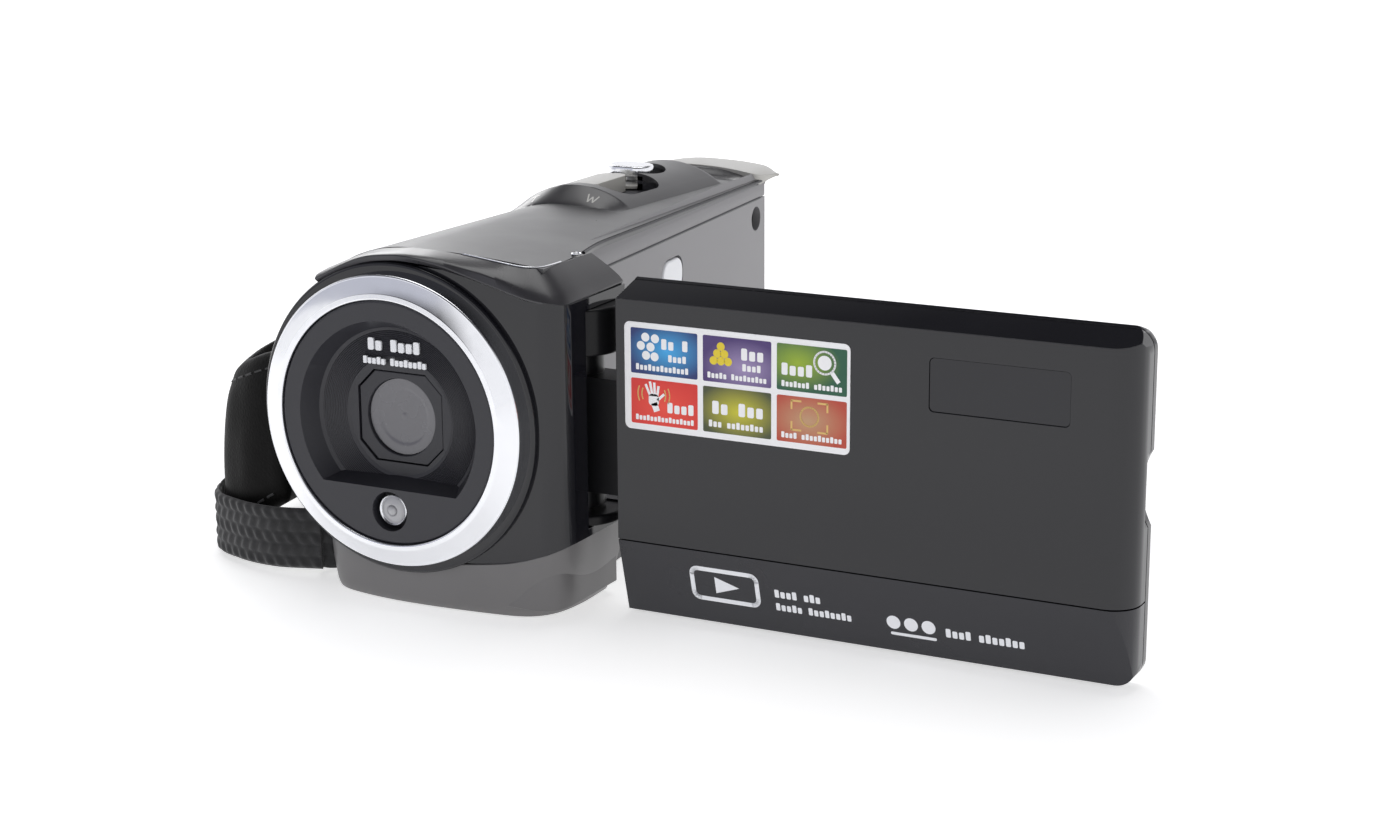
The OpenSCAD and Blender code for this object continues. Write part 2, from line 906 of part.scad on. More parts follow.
module strap_pad() {
    color([0.07, 0.07, 0.07]) placed()
        band(spline(pad_route, 3), heights(pad_bottoms, 3), heights(pad_tops, 3), pad_t, 9, 6);
}

webbing_route = [[-22, 7.2], [-29, 6.4], [-38.4, 8.6], [-46.5, 14], [-49.9, 26], [-51.4, 45],
    [-51.4, 62], [-49, 81], [-42, 95.5], [-31.5, 102], [-26, 104]];
webbing_bottoms = [1.5, 1.2, 0.8, 0.5, 2, 7, 12, 15, 17, 17, 17];

module strap_webbing() {
    bottoms = heights(webbing_bottoms, 3);
    color([0.1, 0.1, 0.1]) placed() {
        band(spline(webbing_route, 3), bottoms, [for (z = bottoms) z + webbing_h],
            webbing_t, 0, 1);
        difference() {
            translate([anchor_front[0], anchor_front[1], 1.6]) cylinder(r = 3.1, h = webbing_h);
            translate([anchor_front[0], anchor_front[1], 0]) cylinder(r = 1.5, h = 20);
        }
    }
}

module strap_anchors() {
    color(silver) placed() {
        translate([anchor_front[0], anchor_front[1], 1.2]) cylinder(r = anchor_r, h = 12);
        translate([anchor_rear[0], anchor_rear[1], 14]) cylinder(r = anchor_r, h = 18);
    }
}

front_shell();
front_cap();
chrome_ring();
lens_bezel();
lens_frame();
lens_window();
lens_barrel();
front_element();
rear_element();
image_sensor();
sensor_board();
lamp_reflector();
lamp_lens();
top_cover();
grip_shell();
chin_cover();
lower_cover();
side_plate();
side_strip();
rear_panel();
tail_band();
main_board();
main_chip();
battery();
battery_bay();
battery_contacts();
battery_door();
card_socket();
memory_card();
speaker();
usb_socket();
av_socket();
port_cover();
tripod_bush();
case_screws();
zoom_lever();
photo_button();
record_button();
mode_button();
status_lamp();
power_button();
menu_button();
play_button();
up_button();
down_button();
hinge_pin();
hinge_block();
tilt_shaft();
tilt_bushing();
lcd_cover();
lcd_lower_strip();
lcd_bezel();
lcd_glass();
lcd_module();
lcd_board();
sticker();
nameplate();
strap_pad();
strap_webbing();
strap_anchors();
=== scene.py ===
"""Looks of the flip-screen camcorder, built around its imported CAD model.

Numbers are millimetres in the drawing frame: x = 0 on the lens axis, y = 0 at the rim of the
chrome ring, z = 0 at the base. place() turns them into metres in the row frame.
"""

import json
import math

import bmesh
import bpy
import numpy as np
from mathutils import Matrix, Vector

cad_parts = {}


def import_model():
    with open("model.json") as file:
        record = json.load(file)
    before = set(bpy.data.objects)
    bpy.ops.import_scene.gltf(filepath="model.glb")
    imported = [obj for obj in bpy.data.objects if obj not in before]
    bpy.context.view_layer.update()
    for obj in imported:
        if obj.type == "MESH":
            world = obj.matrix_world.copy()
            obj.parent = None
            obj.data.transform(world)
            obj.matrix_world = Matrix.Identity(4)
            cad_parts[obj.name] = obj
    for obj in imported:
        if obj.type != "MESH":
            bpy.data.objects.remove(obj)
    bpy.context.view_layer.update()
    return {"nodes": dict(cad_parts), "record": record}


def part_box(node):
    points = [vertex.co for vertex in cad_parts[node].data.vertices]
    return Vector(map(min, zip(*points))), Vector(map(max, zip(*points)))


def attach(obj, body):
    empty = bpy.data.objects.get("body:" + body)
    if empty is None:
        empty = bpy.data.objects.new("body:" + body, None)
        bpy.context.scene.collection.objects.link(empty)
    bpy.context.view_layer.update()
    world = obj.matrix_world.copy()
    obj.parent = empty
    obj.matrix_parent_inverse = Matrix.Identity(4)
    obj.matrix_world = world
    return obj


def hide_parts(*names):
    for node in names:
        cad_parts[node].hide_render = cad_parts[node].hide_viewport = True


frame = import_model()
nodes = frame["nodes"]

MM = 0.001
RING_RISE = 1.3
ring_low, ring_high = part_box("chrome_ring")
RIM_Y = ring_low.y / MM + RING_RISE
LENS_Z = (ring_low.z + ring_high.z) / 2 / MM
RING_R = (ring_high.x - ring_low.x) / 2 / MM
LENS = (0, LENS_Z)
cover_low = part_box("lcd_cover")[0] / MM
FACE_Y = cover_low.y - RIM_Y
SEAM_Z = cover_low.z


def place(p):
    """A drawing-frame point in the row frame's metres."""
    return (p[0] * MM, (p[1] + RIM_Y) * MM, p[2] * MM)


# ---- drawing helpers ----


def arc(x, y, r, start, end, steps):
    """Points on a circular arc, with its angles in degrees."""
    angles = np.radians(np.linspace(start, end, steps + 1))
    return [(x + r * math.cos(a), y + r * math.sin(a)) for a in angles]


def disc_outline(x, y, r, steps=20):
    return arc(x, y, r, 0, 360, steps)[:-1]


def spline(points, per_span):
    """A smooth curve through points of any dimension, open at both ends."""
    p = np.array(points, float)
    p = np.vstack([2 * p[0] - p[1], p, 2 * p[-1] - p[-2]])
    out = []
    for k in range(1, len(p) - 2):
        for t in np.arange(per_span) / per_span:
            a, b, c, d = p[k - 1], p[k], p[k + 1], p[k + 2]
            cubic = (2 * b + (c - a) * t + (2 * a - 5 * b + 4 * c - d) * t**2
                     + (3 * b - a - 3 * c + d) * t**3)
            out.append(0.5 * cubic)
    out.append(p[-2])
    return np.array(out)


def smooth_step(low, high, v):
    t = np.clip((v - low) / (high - low), 0, 1)
    return t * t * (3 - 2 * t)


def round_box(x0, y0, x1, y1, r, steps=5):
    """Outline of a rectangle with round corners."""
    corners = [(x1 - r, y0 + r, -90), (x1 - r, y1 - r, 0),
               (x0 + r, y1 - r, 90), (x0 + r, y0 + r, 180)]
    return [q for x, y, a in corners for q in arc(x, y, r, a, a + 90, steps)]


def stroke(points, width, closed=False):
    """Outline of a line of that width through 2D points, as quads."""
    p = [np.array(q, float) for q in points]
    overlap = 0.15
    quads = []
    for a, b in zip(p, p[1:] + ([p[0]] if closed else [])):
        along = (b - a) / max(np.linalg.norm(b - a), 1e-9)
        side = np.array([-along[1], along[0]]) * width / 2
        a2, b2 = a - along * width * overlap, b + along * width * overlap
        quads.append([tuple(a2 - side), tuple(b2 - side), tuple(b2 + side), tuple(a2 + side)])
    return quads


def new_object(name, points, faces, dissolve=True):
    """A mesh object from drawing-frame points, with doubles merged and its normals made to agree."""
    mesh = bpy.data.meshes.new(name)
    mesh.from_pydata([place(p) for p in points], [], [list(f) for f in faces])
    work = bmesh.new()
    work.from_mesh(mesh)
    bmesh.ops.remove_doubles(work, verts=work.verts, dist=1e-7)
    if dissolve:
        bmesh.ops.dissolve_degenerate(work, edges=work.edges, dist=1e-8)
    bmesh.ops.recalc_face_normals(work, faces=work.faces)
    work.to_mesh(mesh)
    work.free()
    obj = bpy.data.objects.new(name, mesh)
    bpy.context.scene.collection.objects.link(obj)
    return obj


def piece(name, points, faces, body, slot, *replaced, material=None, sharp=38):
    """A mesh piece that rides on a body and takes its finish from a slot."""
    obj = new_object(name, points, faces)
    obj.data.materials.append(material or MATERIALS[slot])
    shade(obj, sharp)
    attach(obj, body)
    if replaced:
        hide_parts(*replaced)
    return obj


def shade(obj, sharp=38):
    """Smooth shading that breaks at edges sharper than an angle in degrees."""
    obj.data.polygons.foreach_set("use_smooth", [True] * len(obj.data.polygons))
    obj.data.set_sharp_from_angle(angle=math.radians(sharp))


def tool(points, faces):
    """A closed mesh that only cuts others."""
    return new_object("tool", points, faces, dissolve=False)


def settle(obj):
    """Turns an object's modifiers into its mesh."""
    graph = bpy.context.evaluated_depsgraph_get()
    made = bpy.data.meshes.new_from_object(obj.evaluated_get(graph))
    obj.modifiers.clear()
    obj.data = made


def cut(obj, *tools, sharp=38):
    """Takes the tools' shapes out of an object, and deletes the tools."""
    for t in tools:
        m = obj.modifiers.new("cut", "BOOLEAN")
        m.operation = "DIFFERENCE"
        m.solver = "EXACT"
        m.object = t
    settle(obj)
    for t in tools:
        bpy.data.objects.remove(t)
    shade(obj, sharp)
    return obj


def face_up(obj):
    """Turns an open sheet's faces upwards, so that its wall grows downwards."""
    if sum(f.normal.z for f in obj.data.polygons) < 0:
        obj.data.flip_normals()


def thicken(obj, thickness):
    """Gives an open sheet a wall on the side its faces look away from."""
    m = obj.modifiers.new("wall", "SOLIDIFY")
    m.thickness = thickness * MM
    m.offset = -1
    m.use_even_offset = True
    settle(obj)
    return obj


def edges(obj, width=0.25, segments=3, angle=32):
    """Rounds an object's sharp edges."""
    m = obj.modifiers.new("edges", "BEVEL")
    m.width = width * MM
    m.segments = segments
    m.limit_method = "ANGLE"
    m.angle_limit = math.radians(angle)
    m.use_clamp_overlap = True
    n = obj.modifiers.new("normals", "WEIGHTED_NORMAL")
    n.keep_sharp = True
    return obj


def slab_faces(n):
    """Faces of a slab between two outlines of n points."""
    sides = [(k, (k + 1) % n, n + (k + 1) % n, n + k) for k in range(n)]
    return sides + [tuple(range(n - 1, -1, -1)), tuple(range(n, 2 * n))]


def wheel_faces(steps, n):
    """Faces of steps closed sections of n points, set around a circle."""
    return [(k * n + j, k * n + (j + 1) % n, (k + 1) % steps * n + (j + 1) % n, (k + 1) % steps * n + j)
            for k in range(steps) for j in range(n)]


def prism(outline, low, high, axis="z"):
    """Points and faces of a closed outline pulled along an axis."""
    turns = {"z": lambda a, b, h: (a, b, h),
             "y": lambda a, b, h: (a, h, b),
             "x": lambda a, b, h: (h, a, b)}
    points = [turns[axis](a, b, h) for h in (low, high) for a, b in outline]
    return points, slab_faces(len(outline))


def box(low, high):
    outline = [(low[0], low[1]), (high[0], low[1]), (high[0], high[1]), (low[0], high[1])]
    return prism(outline, low[2], high[2])


def lathe(profile, centre=LENS, steps=144):
    """Turns a closed profile of (radius, y) points about an axis along Y."""
    points = []
    for k in range(steps):
        a = 2 * math.pi * k / steps
        points += [(centre[0] + r * math.cos(a), y, centre[1] + r * math.sin(a)) for r, y in profile]
    return points, wheel_faces(steps, len(profile))


def rows_faces(rows, cols, wrap=False):
    """Faces of a sheet of rows of points, closed along its rows if wrap is set."""
    span = cols if wrap else cols - 1
    return [(r * cols + c, r * cols + (c + 1) % cols, (r + 1) * cols + (c + 1) % cols, (r + 1) * cols + c)
            for r in range(rows - 1) for c in range(span)]


def loft(rings, caps=True):
    """Skins closed rings of equal length."""
    n = len(rings[0])
    points = [tuple(p) for ring in rings for p in ring]
    faces = rows_faces(len(rings), n, wrap=True)
    if caps:
        faces += [tuple(range(n - 1, -1, -1)), tuple(range(len(points) - n, len(points)))]
    return points, faces


def tube(path, radius, sides=8):
    """A round wire along a path."""
    path = [np.array(p, float) for p in path]
    rings = []
    for k, p in enumerate(path):
        t = path[min(k + 1, len(path) - 1)] - path[max(k - 1, 0)]
        t /= np.linalg.norm(t)
        side = np.cross(t, [0, 0, 1.0]) if abs(t[2]) < 0.9 else np.cross(t, [1.0, 0, 0])
        side /= np.linalg.norm(side)
        up = np.cross(side, t)
        rings.append([p + radius * (math.cos(a) * side + math.sin(a) * up)
                      for a in np.linspace(0, 2 * math.pi, sides, endpoint=False)])
    return loft(rings)


def join(*parts):
    """Several meshes' points and faces as one."""
    points, faces = [], []
    for p, f in parts:
        faces += [[i + len(points) for i in face] for face in f]
        points += list(p)
    return points, faces


# ---- materials ----


def new_material(name):
    m = bpy.data.materials.new(name)
    m.use_nodes = True
    tree = m.node_tree
    return m, tree, tree.nodes["Principled BSDF"]


def add(tree, kind, **values):
    """A shader node with its inputs or settings filled in."""
    n = tree.nodes.new(kind)
    for key, value in values.items():
        if key in n.inputs:
            n.inputs[key].default_value = value
        else:
            setattr(n, key, value)
    return n


def noise(tree, scale, detail=3.0):
    """Noise over the object; scale is in cycles per metre."""
    where = add(tree, "ShaderNodeTexCoord")
    made = add(tree, "ShaderNodeTexNoise", Scale=scale, Detail=detail)
    tree.links.new(where.outputs["Object"], made.inputs["Vector"])
    return made.outputs["Fac"]


def handled(tree, shader, value, low, high):
    """Roughness from low to high over the middle range of a noise."""
    m = add(tree, "ShaderNodeMapRange", **{"From Min": 0.3, "From Max": 0.7, "To Min": low, "To Max": high})
    tree.links.new(value, m.inputs["Value"])
    tree.links.new(m.outputs["Result"], shader.inputs["Roughness"])


def bump(tree, shader, height, strength, depth):
    """Relief in a material, with its depth in millimetres."""
    b = add(tree, "ShaderNodeBump", Strength=strength, Distance=depth * MM)
    tree.links.new(height, b.inputs["Height"])
    tree.links.new(b.outputs["Normal"], shader.inputs["Normal"])


def tint(tree, shader, color, fac, change):
    """Colour that drifts a little over the surface."""
    m = add(tree, "ShaderNodeMix", data_type="RGBA")
    shares = {"A": 1 - change, "B": 1 + change}
    for socket in m.inputs:
        if socket.type == "RGBA":
            socket.default_value = (*[min(c * shares[socket.name], 1) for c in color], 1)
    tree.links.new(fac, m.inputs["Factor"])
    tree.links.new(next(o for o in m.outputs if o.type == "RGBA"), shader.inputs["Base Color"])


def plastic(name, color, rough, grain=0.0, grain_mm=0.25, wander=0.03, ior=1.5, coat=0.0, change=0.08):
    """Moulded or painted plastic: fine grain in relief, and handling marks in its gloss."""
    m, tree, shader = new_material(name)
    shader.inputs["IOR"].default_value = ior
    shader.inputs["Coat Weight"].default_value = coat
    shader.inputs["Coat Roughness"].default_value = 0.04
    broad = noise(tree, 70)
    tint(tree, shader, color, broad, change)
    handled(tree, shader, broad, rough - wander, rough + wander)
    if grain:
        bump(tree, shader, noise(tree, 1 / (grain_mm * MM), 2.0), grain, 0.03)
    return m


def metal(name, color, rough, turned=None, grain=0.1, wander=0.04):
    """Bare or plated metal. turned gives the axis that its brushing runs around."""
    m, tree, shader = new_material(name)
    shader.inputs["Metallic"].default_value = 1
    broad = noise(tree, 160)
    tint(tree, shader, color, broad, 0.05)
    handled(tree, shader, noise(tree, 700), rough - wander, rough + wander)
    if turned:
        shader.inputs["Anisotropic"].default_value = 0.7
        t = add(tree, "ShaderNodeTangent", direction_type="RADIAL", axis=turned)
        tree.links.new(t.outputs["Tangent"], shader.inputs["Tangent"])
    bump(tree, shader, noise(tree, 5000, 2.0), grain, 0.01)
    return m


def glass(name, color, rough=0.03, see_through=1.0):
    m, tree, shader = new_material(name)
    shader.inputs["Transmission Weight"].default_value = see_through
    shader.inputs["IOR"].default_value = 1.5
    tint(tree, shader, color, noise(tree, 90), 0.03)
    handled(tree, shader, noise(tree, 120), rough, rough + 0.02)
    return m


def leatherette(name, color):
    """Soft black leatherette: pebbled grain over slow creases."""
    m, tree, shader = new_material(name)
    where = add(tree, "ShaderNodeTexCoord")
    cells = add(tree, "ShaderNodeTexVoronoi", Scale=1300.0)
    cells.feature = "DISTANCE_TO_EDGE"
    tree.links.new(where.outputs["Object"], cells.inputs["Vector"])
    rough = add(tree, "ShaderNodeMath", operation="ADD")
    tree.links.new(cells.outputs["Distance"], rough.inputs[0])
    tree.links.new(noise(tree, 260, 4.0), rough.inputs[1])
    bump(tree, shader, rough.outputs[0], 0.55, 0.12)
    broad = noise(tree, 90)
    tint(tree, shader, color, broad, 0.35)
    handled(tree, shader, broad, 0.5, 0.66)
    shader.inputs["IOR"].default_value = 1.2
    shader.inputs["Sheen Weight"].default_value = 0.05
    shader.inputs["Sheen Roughness"].default_value = 0.4
    return m


def nylon(name, color):
    """Woven nylon: fibres in relief and a dusty sheen."""
    m, tree, shader = new_material(name)
    bump(tree, shader, noise(tree, 3200, 3.0), 0.6, 0.08)
    tint(tree, shader, color, noise(tree, 900), 0.5)
    handled(tree, shader, noise(tree, 400), 0.72, 0.9)
    shader.inputs["Sheen Weight"].default_value = 0.25
    shader.inputs["Sheen Roughness"].default_value = 0.5
    return m


def ink(name, color, rough=0.35):
    return plastic(name, color, rough, wander=0.05, change=0.05)


def glow_tile(name, rim, glow, centre):
    """A printed tile whose colour runs from a bright spot to its rim."""
    m, tree, shader = new_material(name)
    where = add(tree, "ShaderNodeTexCoord")
    away = add(tree, "ShaderNodeVectorMath", operation="DISTANCE")
    flat = add(tree, "ShaderNodeVectorMath", operation="MULTIPLY")
    flat.inputs[1].default_value = (1, 0, 1)
    tree.links.new(where.outputs["Generated"], flat.inputs[0])
    tree.links.new(flat.outputs["Vector"], away.inputs[0])
    away.inputs[1].default_value = (centre[0], 0, centre[1])
    ramp = add(tree, "ShaderNodeValToRGB")
    ramp.color_ramp.elements[0].color = (*glow, 1)
    ramp.color_ramp.elements[1].color = (*rim, 1)
    ramp.color_ramp.elements[1].position = 0.62
    tree.links.new(away.outputs["Value"], ramp.inputs["Fac"])
    tree.links.new(ramp.outputs["Color"], shader.inputs["Base Color"])
    handled(tree, shader, noise(tree, 500), 0.28, 0.38)
    return m


MATERIALS = {
    "gloss_black": plastic("gloss_black", (0.0085, 0.0085, 0.0115), 0.06, grain=0.02, grain_mm=3, ior=1.53),
    "satin_black": plastic("satin_black", (0.033, 0.032, 0.036), 0.30, grain=0.12, grain_mm=0.3, ior=1.6),
    "matte_black": plastic("matte_black", (0.024, 0.024, 0.030), 0.42, grain=0.2, grain_mm=0.2),
    "chin_grey": plastic("chin_grey", (0.145, 0.141, 0.142), 0.34, grain=0.1, grain_mm=0.2),
    "plate_grey": plastic("plate_grey", (0.23, 0.225, 0.235), 0.38, grain=0.1, grain_mm=0.12),
    "silver_paint": plastic("silver_paint", (0.50, 0.49, 0.46), 0.32, grain=0.1, grain_mm=0.12, coat=0.3),
    "chrome": metal("chrome", (0.86, 0.87, 0.90), 0.18, turned="Y"),
    "steel": metal("steel", (0.58, 0.58, 0.59), 0.28),
    "brass": metal("brass", (0.72, 0.53, 0.25), 0.3),
    "lens_glass": glass("lens_glass", (0.85, 0.88, 0.95)),
    "screen_glass": plastic("screen_glass", (0.012, 0.013, 0.017), 0.05, wander=0.015, ior=1.52),
    "lamp_glass": glass("lamp_glass", (0.95, 0.96, 1.0)),
    "circuit_board": plastic("circuit_board", (0.03, 0.16, 0.07), 0.4, grain=0.3, grain_mm=0.6, change=0.3),
    "chip_black": plastic("chip_black", (0.02, 0.02, 0.022), 0.5, grain=0.2, grain_mm=0.15),
    "battery_wrap": plastic("battery_wrap", (0.08, 0.13, 0.30), 0.35, grain=0.05, change=0.15),
    "record_red": plastic("record_red", (0.42, 0.02, 0.02), 0.22, grain=0.03),
    "status_green": plastic("status_green", (0.08, 0.50, 0.15), 0.2, grain=0.02),
    "white_key": plastic("white_key", (0.86, 0.87, 0.90), 0.22, grain=0.03, change=0.03),
    "rubber": plastic("rubber", (0.028, 0.028, 0.028), 0.62, grain=0.35, grain_mm=0.2),
    "sticker_print": plastic("sticker_print", (0.93, 0.93, 0.94), 0.3, change=0.02),
    "strap_leather": leatherette("strap_leather", (0.003, 0.0028, 0.0026)),
    "strap_nylon": nylon("strap_nylon", (0.016, 0.016, 0.017)),
}


# ---- CAD nodes that keep their shape ----


def finish_node(name, slot, width, segments=2):
    """Gives a CAD node its material and rounds its edges with modifiers."""
    obj = nodes[name]
    for extra in [a for a in obj.data.attributes if a.name == "custom_normal"]:
        obj.data.attributes.remove(extra)
    obj.data.materials.clear()
    obj.data.materials.append(FILMS.get(name) or MATERIALS[slot])
    obj.data.polygons.foreach_set("use_smooth", [True] * len(obj.data.polygons))
    weld = obj.modifiers.new("weld", "WELD")
    weld.merge_threshold = 2e-6
    flat = obj.modifiers.new("flat", "DECIMATE")
    flat.decimate_type = "DISSOLVE"
    flat.angle_limit = math.radians(0.8)
    edges(obj, width, segments)


EDGE_WIDTHS = {
    "lcd_cover": 0.5, "lcd_lower_strip": 0.3, "lcd_bezel": 0.25, "side_plate": 0.15, "side_strip": 0.2,
    "rear_panel": 0.3, "tail_band": 0.3, "grip_shell": 0.3, "lower_cover": 0.3, "battery_door": 0.3,
    "photo_button": 0.45, "zoom_lever": 0.25, "record_button": 0.5, "mode_button": 0.4,
    "power_button": 0.5, "menu_button": 0.25, "play_button": 0.25, "up_button": 0.25,
    "down_button": 0.25, "port_cover": 0.25, "hinge_block": 0.3, "lens_frame": 0.2, "battery": 0.6,
    "memory_card": 0.3, "main_chip": 0.1, "sensor_board": 0.05, "main_board": 0.05, "lcd_board": 0.05,
    "nameplate": 0.03, "lcd_glass": 0.05, "sticker": 0.03,
}
FILMS = {
    "hinge_block": plastic("hinge_black", (0.008, 0.008, 0.009), 0.3, ior=1.3),
    "nameplate": plastic("nameplate_film", (0.010, 0.010, 0.014), 0.10, wander=0.02, ior=1.5),
    "lcd_lower_strip": plastic("lower_strip", (0.016, 0.016, 0.021), 0.16, grain=0.04, ior=1.52),
}
slots = {row["node"]: row["material_slot"] for row in frame["record"]["subparts"]}
for node_name, slot_name in slots.items():
    finish_node(node_name, slot_name, EDGE_WIDTHS.get(node_name, 0.1))


# ---- lens group ----


RING_BACK = 1.9
BEZEL_FACE = -0.9


def chrome_ring():
    inner = RING_R - 3.9
    face = [(inner, RING_BACK), (inner, -0.95)] + arc(inner + 0.35, -0.95, 0.35, 180, 262, 6)
    # a narrow polished bevel, then the brushed cone that falls to the rim
    face += [(inner + 1.0, -1.22), (inner + 1.12, -1.12), (RING_R - 0.35, -0.02)]
    face += arc(RING_R - 0.4, 0.36, 0.4, -75, 0, 6) + [(RING_R, RING_BACK)]
    piece("chrome_ring_turned", *lathe(face, steps=192), "camera_body", "chrome", "chrome_ring", sharp=20)


DISH_FLOOR = 3.2
CHORD_Z = 20.6
LAMP = (0, 16.8)


def octagon(half_w, half_h, c):
    """A rectangle with its corners cut off by c."""
    return [(half_w, half_h - c), (half_w - c, half_h), (c - half_w, half_h), (-half_w, half_h - c),
            (-half_w, c - half_h), (c - half_w, -half_h), (half_w - c, -half_h), (half_w, c - half_h)]


def lens_bezel():
    edge = RING_R - 3.95
    disc = [(0, 6), (0, BEZEL_FACE), (15, BEZEL_FACE), (edge - 0.5, BEZEL_FACE)]
    disc += arc(edge - 0.5, -0.4, 0.5, -80, 0, 4) + [(edge, 6)]
    bezel = piece("lens_bezel_dished", *lathe(disc), "camera_body", "matte_black", "lens_bezel", sharp=25)
    # dish: a wall, then fine turned ridges on its floor
    dish = [(0, -3), (17.3, -3), (16.7, BEZEL_FACE), (15.1, 2.2), (14.7, 2.5)]
    ridge_count = 15
    for k in range(ridge_count):
        r = 14.5 - k * 0.3
        dish += [(r, 2.62 + 0.03 * k), (r - 0.15, 2.5 + 0.03 * k)]
    dish += [(9.6, DISH_FLOOR), (0, DISH_FLOOR)]
    dish_tool = tool(*lathe(dish))
    # the dish ends above the lamp at a chord, whose wall slopes
    slope = math.radians(16)
    chord = [(-6, CHORD_Z - 60), (-6, CHORD_Z - 5 * math.tan(slope)), (7, CHORD_Z + 8 * math.tan(slope)),
             (7, CHORD_Z - 60)]
    cut(dish_tool, tool(*prism(chord, -30, 30, "x")))
    frame_hole = [(x, z + LENS_Z) for x, z in octagon(8, 7.6, 3.1)]
    lamp_hole = disc_outline(*LAMP, 3.3, 48)
    cut(bezel, dish_tool, tool(*prism(frame_hole, -3, 8, "y")), tool(*prism(lamp_hole, -3, 2.2, "y")),
        sharp=22)
    edges(bezel, 0.14, 2, 30)


def lens_window():
    """Lens glass: a shallow dish with turned grooves."""
    r, back, middle, rise, steps = 6.3, 5.2, 4.35, 0.3, 15
    front = [(0, back), (0, middle)]
    for k in range(1, steps):
        radius = k * r / steps
        groove = 0.2 if k in (2, 4, 6, 8, 10) else 0.0
        front.append((radius, middle - rise * (radius / r) ** 2 + groove))
    front += [(r, 4.05), (r, back)]
    m, tree, shader = new_material("lens_window_glass")
    shader.inputs["IOR"].default_value = 1.55
    shader.inputs["Coat Weight"].default_value = 0.6
    shader.inputs["Coat Roughness"].default_value = 0.03
    tint(tree, shader, (0.115, 0.113, 0.126), noise(tree, 150), 0.06)
    handled(tree, shader, noise(tree, 300), 0.2, 0.3)
    piece("lens_window_glass", *lathe(front, steps=96), "camera_body", "lens_glass", "lens_window",
          material=m, sharp=60)


def lamp():
    """The small lamp under the lens: a plated bowl with a clear dome in it."""
    bowl = [(1.2, 2.1), (2.6, 2.1), (2.6, 0.1), (2.45, 0.0), (2.3, 0.1)]
    bowl += [(2.3 - 0.36 * k, 0.1 + 1.5 * (k / 3) ** 0.7) for k in range(1, 4)]
    piece("lamp_bowl", *lathe(bowl, LAMP, 72), "camera_body", "chrome", "lamp_reflector", sharp=50)
    m = plastic("lamp_dome_clear", (0.42, 0.42, 0.44), 0.14, coat=0.9)
    wide, nub, swell = 2.25, 0.85, 0.55
    dome = [(0, 1.9), (wide, 1.9), (wide, 0.3)]
    dome += [(wide * math.cos(a), 0.3 - swell * math.sin(a)) for a in np.linspace(0.2, 1.1, 7)]
    dome += [(nub, -0.05)]
    dome += [(nub * math.cos(a), -0.1 - swell * math.sin(a)) for a in np.linspace(0, math.pi / 2, 7)]
    piece("lamp_dome", *lathe(dome, LAMP, 48), "camera_body", "lamp_glass", "lamp_lens",
          material=m, sharp=40)


# ---- front section ----

CORNER = (25.7, 7.3, 4.3)
FRONT_Y = 3
HINGE = (25, 17.5)
FRONT_END = 24.2
HINGE_NOTCH = ((20, 12.5, 16.7), (33, 30, 42.3))
KNUCKLES = (("hinge_knuckle_top", 42.7, 50.3), ("hinge_knuckle_low", 14.7, 16.4))
SEAM_X = [12.7, 18, 23, 27, 29.9]
SEAM_HEIGHTS = [8.7, 9.4, 10.5, 12.0, 13.3]
CAP_ROWS = 9


def front_shell():
    """The glossy wall around the ring, with the hinge's recess and knuckles, and the ring's rim."""
    plan = [(-2, FRONT_END), (-2, FRONT_Y)] + arc(*CORNER, -90, 0, 20) + [(30, FRONT_END)]
    shell = piece("front_shell_wall", *prism(plan, 4, 62), "camera_body", "gloss_black", "front_shell")
    # the seam over the chin, which rises towards the screen
    below = [(-10, SEAM_HEIGHTS[0]), *zip(SEAM_X, SEAM_HEIGHTS), (40, SEAM_HEIGHTS[-1]), (40, 0), (-10, 0)]
    above = [(-10, 57.6), (9, 56.6), (30, 52.3), (40, 50.2), (40, 70), (-10, 70)]
    hole = disc_outline(*LENS, RING_R - 0.6, 120)
    cut(shell, *[tool(*prism(outline, -1, 40, "y")) for outline in (below, above, hole)],
        tool(*box(*HINGE_NOTCH)), tool(*box((21.5, 11.2, 14.6), (33, 21.6, 50.4))))
    edges(shell, 0.3, 3)
    barrel = disc_outline(*HINGE, 7.4, 72)
    for name, low, high in KNUCKLES:
        knuckle = piece(name, *prism(barrel, low, high), "camera_body", "matte_black",
                        material=FILMS["hinge_block"])
        edges(knuckle, 0.4, 3)
    inner, outer = RING_R - 0.7, CORNER[0]
    wall = [(inner, FRONT_END), (inner, RING_BACK), (25.0, RING_BACK)]
    wall += arc(25.1, 2.5, 0.6, -90, -10, 6)
    # a fine groove behind the rim's lip
    wall += [(outer, 3.2), (outer - 0.25, 3.3), (outer - 0.25, 3.6), (outer, 3.7), (outer, FRONT_END)]
    rim = piece("lens_rim", *lathe(wall, steps=192), "camera_body", "gloss_black", sharp=30)
    cut(rim, tool(*box(*HINGE_NOTCH)), sharp=30)


